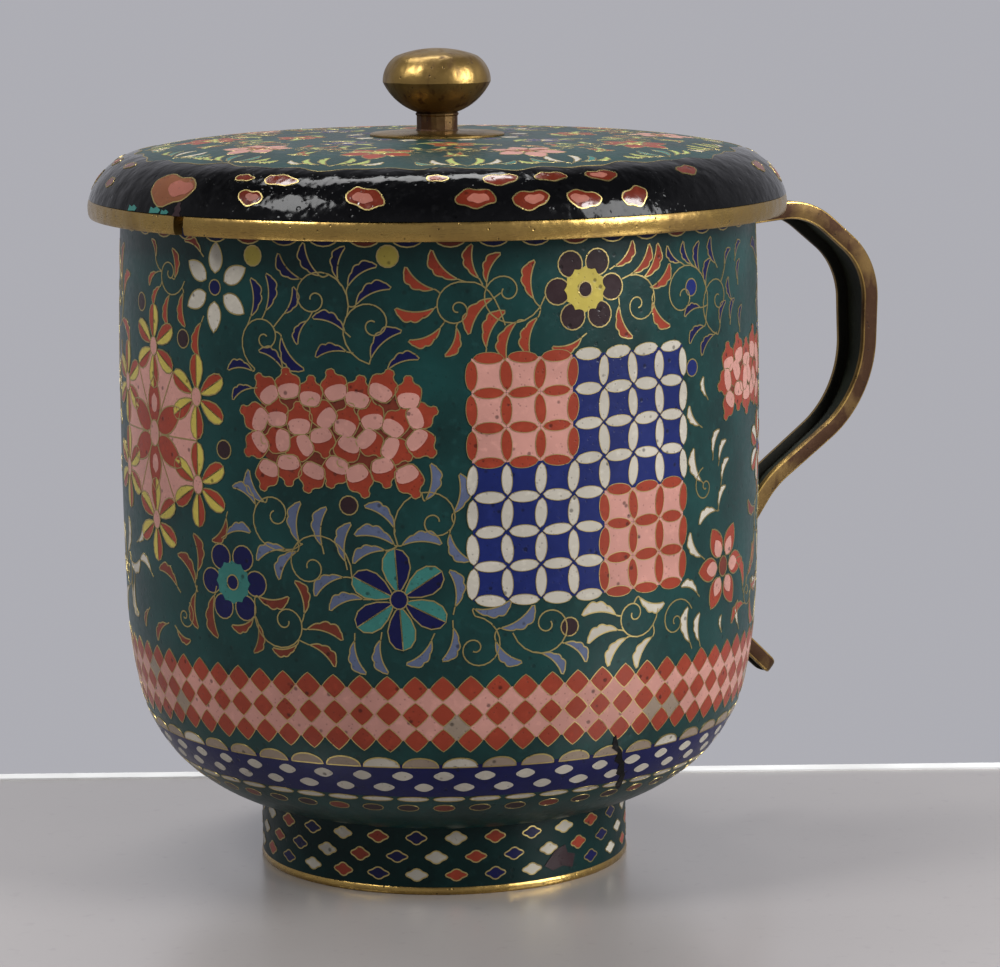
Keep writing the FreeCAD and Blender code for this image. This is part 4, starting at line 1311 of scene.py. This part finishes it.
def handle_strap():
    """The channelled brass strap, with worn gilt edges and a dark channel."""
    points = bent_route(STRAP_ROUTE, STRAP_STEP * MM)
    top, tip = STRAP_ROUTE[1][1] * MM, points[-1][1]
    vertices, faces = [], []
    total = len(points)
    for index, (x, z) in enumerate(points):
        before, after = points[max(index - 1, 0)], points[min(index + 1, total - 1)]
        way = Vector((after[0] - before[0], after[1] - before[1])).normalized()
        outward = Vector((-way.y, way.x))
        share = max(0.0, min(1.0, (z - tip) / (top - tip)))
        half = (STRAP_TIP_HALF + (STRAP_TOP_HALF - STRAP_TIP_HALF) * share) * MM
        thickness = (STRAP_THICKNESS - TIP_THINNING * (1 - share)) * MM
        left = math.dist((x, z), points[-1])
        hollow = left > SOLID_TIP * MM
        sink = 0.0
        if left < half:
            narrow = max(0.3, math.sqrt(1 - (1 - left / half) ** 2))
            half *= narrow
            sink = thickness * 0.32 * (1 - narrow)
            thickness -= sink * 2
        drift = (noise.noise(Vector((x, 0, z)) * 90) - 1) * STRAP_WAVER * MM
        for u, v in strap_section(half, thickness):
            depth = v if hollow or v > -thickness * 0.6 or abs(u) > half * 0.5 else -thickness
            spot = Vector((x, z)) + outward * (depth + drift - sink)
            vertices.append((spot.x, u, spot.y))
    size = len(SECTION_FINISHES)
    for index in range(total - 1):
        faces += joined(index * size, (index + 1) * size, size)
    faces.append(tuple(range(size))[::-1])
    faces.append(tuple(range((total - 1) * size, total * size)))
    piece = new_piece("handle_channel_strap", vertices, faces, STRAP_FINISHES, "mug", "brass_handle", 35)
    marks = SECTION_FINISHES * (total - 1) + [0, 0]
    for face, mark in zip(piece.data.polygons, marks):
        face.material_index = mark
    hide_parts("handle_strap")


# Stage

# Lamps in the picture's own frame, in metres: place, size and power in watts.
LAMPS = {
    "left_lamp": ((-0.47, -0.29, 0.66), (0.22, 0.3), 4.4),
    "right_lamp": ((0.62, -0.30, 0.42), (0.3, 0.45), 7.8),
    "top_lamp": ((-0.10, 0.22, 0.72), (0.45, 0.16), 2.6),
}
LAMP_TARGET = (0.0, 0.0, 0.06)

TABLE_NEAR = -0.9
TABLE_FAR = 0.054
TABLE_HALF = 0.9
TABLE_THICKNESS = 0.02
BEAD_DEPTH = 0.0035
BEAD_RISE = 0.0003

SENSOR_WIDTH = 36.0
FOCAL_LENGTH = 133.3
CAMERA_PITCH = math.radians(8.81)
CAMERA_YAW = math.radians(0.926)
CAMERA_ROLL = math.radians(-0.45)


def in_picture_frame(x, y, z):
    """A place given along the picture's right, away from the camera and up, in metres."""
    return Matrix.Rotation(-HANDLE_TURN, 4, "Z") @ Vector((x, y, z))


def area_light(name, spot, size, power):
    lamp = bpy.data.lights.new(name, "AREA")
    lamp.shape = "RECTANGLE"
    lamp.size, lamp.size_y = size
    lamp.energy = power
    thing = bpy.data.objects.new(name, lamp)
    thing.location = spot
    thing.rotation_euler = (Vector(LAMP_TARGET) - spot).to_track_quat("-Z", "Y").to_euler()
    bpy.context.scene.collection.objects.link(thing)


def slab(name, near, far, high, low, finish):
    """A flat box across the picture that belongs to the stage."""
    corners = [(-TABLE_HALF, near), (TABLE_HALF, near), (TABLE_HALF, far), (-TABLE_HALF, far)]
    vertices = [tuple(in_picture_frame(x, y, z)) for z in (high, low) for x, y in corners]
    sides = [(n, n + 4, (n + 1) % 4 + 4, (n + 1) % 4) for n in range(4)]
    mesh = bpy.data.meshes.new(name)
    mesh.from_pydata(vertices, [], [(0, 1, 2, 3), (7, 6, 5, 4)] + sides)
    mesh.materials.append(finish)
    thing = bpy.data.objects.new(name, mesh)
    bpy.context.scene.collection.objects.link(thing)


class MUG_OT_stage(bpy.types.Operator):
    """Table, backdrop colour, soft lights and the camera"""
    bl_idname = "mug.stage"
    bl_label = "Stage"

    def execute(self, context):
        scene = context.scene
        scene.view_settings.view_transform = "Standard"
        self.make_table()
        self.make_world(scene)
        for name, (spot, size, power) in LAMPS.items():
            area_light(name, in_picture_frame(*spot), size, power)
        self.make_camera(scene)
        return {"FINISHED"}

    def make_table(self):
        """A dull grey table, with a pale bead along its back edge."""
        made = Finish(bpy.data.materials.new("table_surface"))
        cloud = made.noise(14.0, 5.0)
        fleck = made.noise(420.0).ramp(0.62, 0.78) * 0.35
        dull = shaded(colour("table"), 0.88)
        tone = made.mix(cloud.ramp(0.3, 0.75), dull, colour("table"))
        tone = made.mix(fleck, tone, shaded(dull, 0.6))
        surface = made.finish(base_color=tone, roughness=cloud * 0.08 + 0.26, specular_ior_level=1.0,
                              coat_weight=1.0, coat_roughness=0.26)
        slab("table", TABLE_NEAR, TABLE_FAR, 0.0, -TABLE_THICKNESS, surface)
        made = Finish(bpy.data.materials.new("table_edge"))
        wear = made.noise(60.0).ramp(0.3, 0.8)
        bead = made.mix(wear, (0.85, 0.85, 0.84, 1.0), (0.62, 0.61, 0.60, 1.0))
        bead = made.finish(base_color=bead, roughness=0.6)
        slab("table_edge", TABLE_FAR - BEAD_DEPTH, TABLE_FAR, BEAD_RISE, 0.0, bead)

    def make_world(self, scene):
        """Soft light on the mug, and the backdrop as the camera, metal and glass see it."""
        made = Finish(bpy.data.worlds.new("studio"))
        rays = made.node("LightPath", {}, {}, "Is Camera Ray")
        glossy, through = [made.node("LightPath", {}, {}, f"Is {kind} Ray")
                           for kind in ("Glossy", "Transmission")]
        seen = (rays + glossy + through).ramp(0.0, 1.0)
        ambient = made.node("Background", {}, {"Color": (0.80, 0.84, 0.90, 1.0), "Strength": 0.40})
        way = made.node("TexCoord", {}, {}, "Generated")
        overhead = made.node("SeparateXYZ", {}, {"Vector": way}, "Z").ramp(0.5, 0.8) * (1 - rays)
        shade = made.mix(overhead, colour("wall"), (0.03, 0.03, 0.03, 1.0))
        backdrop = made.node("Background", {}, {"Color": shade})
        mixed = made.node("MixShader", {}, {0: seen, 1: ambient, 2: backdrop})
        made.node("OutputWorld", {}, {"Surface": mixed}, None)
        scene.world = made.owner

    def make_camera(self, scene):
        """The camera of the picture, which looks slightly down on the mug."""
        lens = bpy.data.cameras.new("camera")
        lens.sensor_width = SENSOR_WIDTH
        lens.lens = FOCAL_LENGTH
        lens.clip_start = 0.01
        eye = bpy.data.objects.new("camera", lens)
        turn = Matrix.Rotation(-HANDLE_TURN - CAMERA_YAW, 4, "Z")
        turn = turn @ Matrix.Rotation(math.pi / 2 - CAMERA_PITCH, 4, "X")
        turn = turn @ Matrix.Rotation(CAMERA_ROLL, 4, "Z")
        spot = in_picture_frame(0.0, -sizes().camera_distance, sizes().camera_height)
        eye.matrix_world = Matrix.Translation(spot) @ turn
        scene.collection.objects.link(eye)
        scene.camera = eye


class MUG_OT_fittings(bpy.types.Operator):
    """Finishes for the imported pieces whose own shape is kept"""
    bl_idname = "mug.fittings"
    bl_label = "Kept pieces"

    KEPT = {
        "copper": ("body_core", "foot_ring", "lid_core"),
        "lining": ("body_lining", "base_enamel", "lid_lining"),
        "rim": ("mouth_band", "lid_flange"),
        "strap": ("upper_handle_pad", "lower_handle_pad"),
        "screw": ("knob_stud", "knob_inner_washer", "knob_nut"),
    }

    def execute(self, context):
        for finish, nodes in self.KEPT.items():
            for node in nodes:
                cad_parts[node].material_slots[0].material = finish_of(finish)
        return {"FINISHED"}


class MUG_OT_wall(bpy.types.Operator):
    """Green enamel ground of the wall"""
    bl_idname = "mug.wall"
    bl_label = "Wall ground"

    def execute(self, context):
        ground = turned("wall_ground", shell(WALL, SHELL_DEPTH * MM), "ground", "mug", "enamel_ground", 360)
        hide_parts("body_enamel")
        return {"FINISHED"}


class MUG_OT_wall_ornament(bpy.types.Operator):
    """Wired cells of the wall: rows below, scrolls and flowers above, front and back"""
    bl_idname = "mug.wall_ornament"
    bl_label = "Wall ornament"

    def execute(self, context):
        rng = random.Random(SEED)
        rows = Ornament(WALL, "wall_rows", "mug", "enamel_ground")
        wall_bands(rows, rng)
        wall_crack(rows)
        rows.build()
        field = Ornament(WALL, "wall_field", "mug", "enamel_ground")
        front_field(field, rng)
        field.mirrored = True
        field.swaps = {"midnight": "russet", "russet": "midnight"}
        front_field(field, rng)
        field.build()
        return {"FINISHED"}


class MUG_OT_foot(bpy.types.Operator):
    """Ground, small cells and brass band of the foot"""
    bl_idname = "mug.foot"
    bl_label = "Foot"

    def execute(self, context):
        # The foot's ground is painted darker than the wall's, as painted shade under the body.
        ground = turned("foot_ground_painted_shade", shell(FOOT, FOOT_DEPTH * MM), "foot_ground_painted_shade", "mug", "enamel_ground",
                        240)
        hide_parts("foot_enamel")
        work = Ornament(FOOT, "foot", "mug", "enamel_ground")
        foot_band_ornament(work, random.Random(SEED + 1))
        work.build()
        low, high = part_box("foot_band")
        inner = FOOT_CORNERS[0][0] * MM - 2.56 * MM
        outer = high.x - 0.06 * MM
        bevel, bulge = outer - 0.25 * MM, outer - 0.08 * MM
        outline = [(inner, 0.0), (bevel, 0.0), (bulge, 0.2 * MM), (outer, 0.55 * MM),
                   (bulge, 0.95 * MM), (bevel, high.z), (inner, high.z)]
        band = turned("foot_rim", outline, "rim", "mug", "brass_rim", 240)
        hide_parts("foot_band")
        return {"FINISHED"}


class MUG_OT_handle(bpy.types.Operator):
    """Channelled brass strap"""
    bl_idname = "mug.handle"
    bl_label = "Handle"

    def execute(self, context):
        handle_strap()
        return {"FINISHED"}


class MUG_OT_lid(bpy.types.Operator):
    """Enamel of the lid and its ornament"""
    bl_idname = "mug.lid"
    bl_label = "Lid"

    def execute(self, context):
        ground = turned("lid_ground", shell(LID, SHELL_DEPTH * MM), "ground", "lid", "enamel_lid", 300)
        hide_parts("lid_enamel")
        rng = random.Random(SEED + 2)
        work = Ornament(LID, "lid", "lid", "enamel_lid")
        lid_side(work)
        lid_clouds(work, rng)
        lid_crack(work)
        work.build()
        crown = Ornament(LID, "lid_top", "lid", "enamel_lid", 0.4)
        lid_top(crown, rng)
        crown.build()
        return {"FINISHED"}


# How far the lid band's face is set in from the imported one's, its wall, and how far the face bulges.
LID_BAND_INSET = 0.12
LID_BAND_WALL = 1.66
LID_BAND_BULGE = 0.55


class MUG_OT_lid_band(bpy.types.Operator):
    """Brass band round the lid, with a crack"""
    bl_idname = "mug.lid_band"
    bl_label = "Lid band"

    def execute(self, context):
        low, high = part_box("lid_band")
        outer = high.x - LID_BAND_INSET * MM
        inner = outer - LID_BAND_WALL * MM
        bulge = LID_BAND_BULGE * MM
        middle, half = (low.z + high.z) / 2, (high.z - low.z) / 2
        outline = [(inner, low.z)]
        for step in range(11):
            angle = math.pi * (step / 10 - 0.5)
            swell = bulge * math.cos(angle) ** 0.6
            outline.append((outer - bulge + swell, middle + half * math.sin(angle)))
        outline.append((inner, high.z))
        crack = (math.radians(LID_CRACK_TURN), LID_CRACK_WIDTH * MM / outer)
        band = turned("lid_rim", outline, "rim", "lid", "brass_rim", 360, 0.1 * MM, 40, crack)
        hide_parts("lid_band")
        return {"FINISHED"}


# The knob: its wall, the radius of its base, the radius and height of its shoulder, and how far
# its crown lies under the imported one's.
KNOB_WALL = 0.8
KNOB_BASE = 3.2
KNOB_SHOULDER = (6.3, 126.7)
KNOB_INSET = 0.1


class MUG_OT_knob(bpy.types.Operator):
    """Brass knob: washer, neck and two pressed halves"""
    bl_idname = "mug.knob"
    bl_label = "Knob"

    def execute(self, context):
        bore = SCREW_HOLE * MM
        self.washer(bore)
        self.neck(bore)
        self.cups(bore)
        return {"FINISHED"}

    def washer(self, bore):
        low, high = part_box("knob_washer")
        outline = [
            (bore, low.z), (high.x, low.z), (high.x, low.z + 0.25 * MM),
            (high.x - 0.3 * MM, low.z + 0.4 * MM), (3.4 * MM, high.z), (bore, high.z),
        ]
        washer = turned("knob_plate", outline, "plate", "lid", "brass_knob", 160, 0.05 * MM)
        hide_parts("knob_washer")

    def neck(self, bore):
        low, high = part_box("knob_collar")
        radius = high.x
        waist = radius * 0.95
        outline = [
            (bore, low.z), (radius, low.z), (waist, low.z + 0.25 * MM), (waist, high.z - 0.6 * MM),
            (radius, high.z - 0.4 * MM), (radius, high.z - 0.2 * MM), (radius * 0.94, high.z), (bore, high.z),
        ]
        # The neck takes the painted shade of the knob's underside.
        neck = turned("knob_neck", outline, "knob_underside_painted_shade", "lid", "brass_knob", 15, 0.1 * MM, 15)
        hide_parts("knob_collar")

    def cups(self, bore):
        low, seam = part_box("knob_bottom")
        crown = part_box("knob_top")[1].z - KNOB_INSET * MM
        radius = seam.x
        wall = KNOB_WALL * MM
        base, shoulder = KNOB_BASE * MM, (KNOB_SHOULDER[0] * MM, KNOB_SHOULDER[1] * MM)
        under = arc_points((base, low.z), (radius, seam.z), math.radians(46), 12)
        outline = [(bore, low.z)] + under + [(radius, seam.z), (radius - wall, seam.z)]
        outline += [(base, low.z + wall), (bore, low.z + wall)]
        # The lower cup is painted darker than the upper one, as painted shade.
        cup = turned("knob_lower_cup", outline, "knob_underside_painted_shade", "lid", "brass_knob", 128, 0.14 * MM)
        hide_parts("knob_bottom")
        side = arc_points((radius, seam.z), shoulder, math.radians(58), 12)
        turn = 2 * math.atan((crown - shoulder[1]) / shoulder[0])
        axis = 0.1 * MM
        cap = arc_points(shoulder, (axis, crown), turn, 10) + [(axis, crown)]
        inner = [(axis, crown - wall), (shoulder[0] - wall, shoulder[1] - wall), (radius - wall, seam.z)]
        top = turned("knob_upper_cup", side + cap + inner, "knob", "lid", "brass_knob", 128, 0.14 * MM)
        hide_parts("knob_top")


class MUG_PT_panel(bpy.types.Panel):
    """Lists the pieces of the mug and their sizes and colours"""
    bl_idname = "MUG_PT_panel"
    bl_label = "Enamelled mug"
    bl_space_type = "VIEW_3D"
    bl_region_type = "UI"
    bl_category = "Mug"

    def draw(self, context):
        for operator in OPERATORS:
            self.layout.operator(operator.bl_idname)
        for group in (context.scene.mug_sizes, context.scene.mug_colours):
            for name in group.__annotations__:
                self.layout.prop(group, name)


OPERATORS = [
    MUG_OT_stage, MUG_OT_fittings, MUG_OT_wall, MUG_OT_wall_ornament, MUG_OT_foot, MUG_OT_handle,
    MUG_OT_lid, MUG_OT_lid_band, MUG_OT_knob,
]
CLASSES = [MugSizes, MugColours, *OPERATORS, MUG_PT_panel]


def register():
    for item in CLASSES:
        bpy.utils.register_class(item)
    bpy.types.Scene.mug_sizes = PointerProperty(type=MugSizes)
    bpy.types.Scene.mug_colours = PointerProperty(type=MugColours)


def unregister():
    del bpy.types.Scene.mug_colours
    del bpy.types.Scene.mug_sizes
    for item in reversed(CLASSES):
        bpy.utils.unregister_class(item)


def main():
    register()
    for operator in OPERATORS:
        group, name = operator.bl_idname.split(".")
        getattr(getattr(bpy.ops, group), name)()
    bpy.context.view_layer.update()


if __name__ == "__main__":
    main()
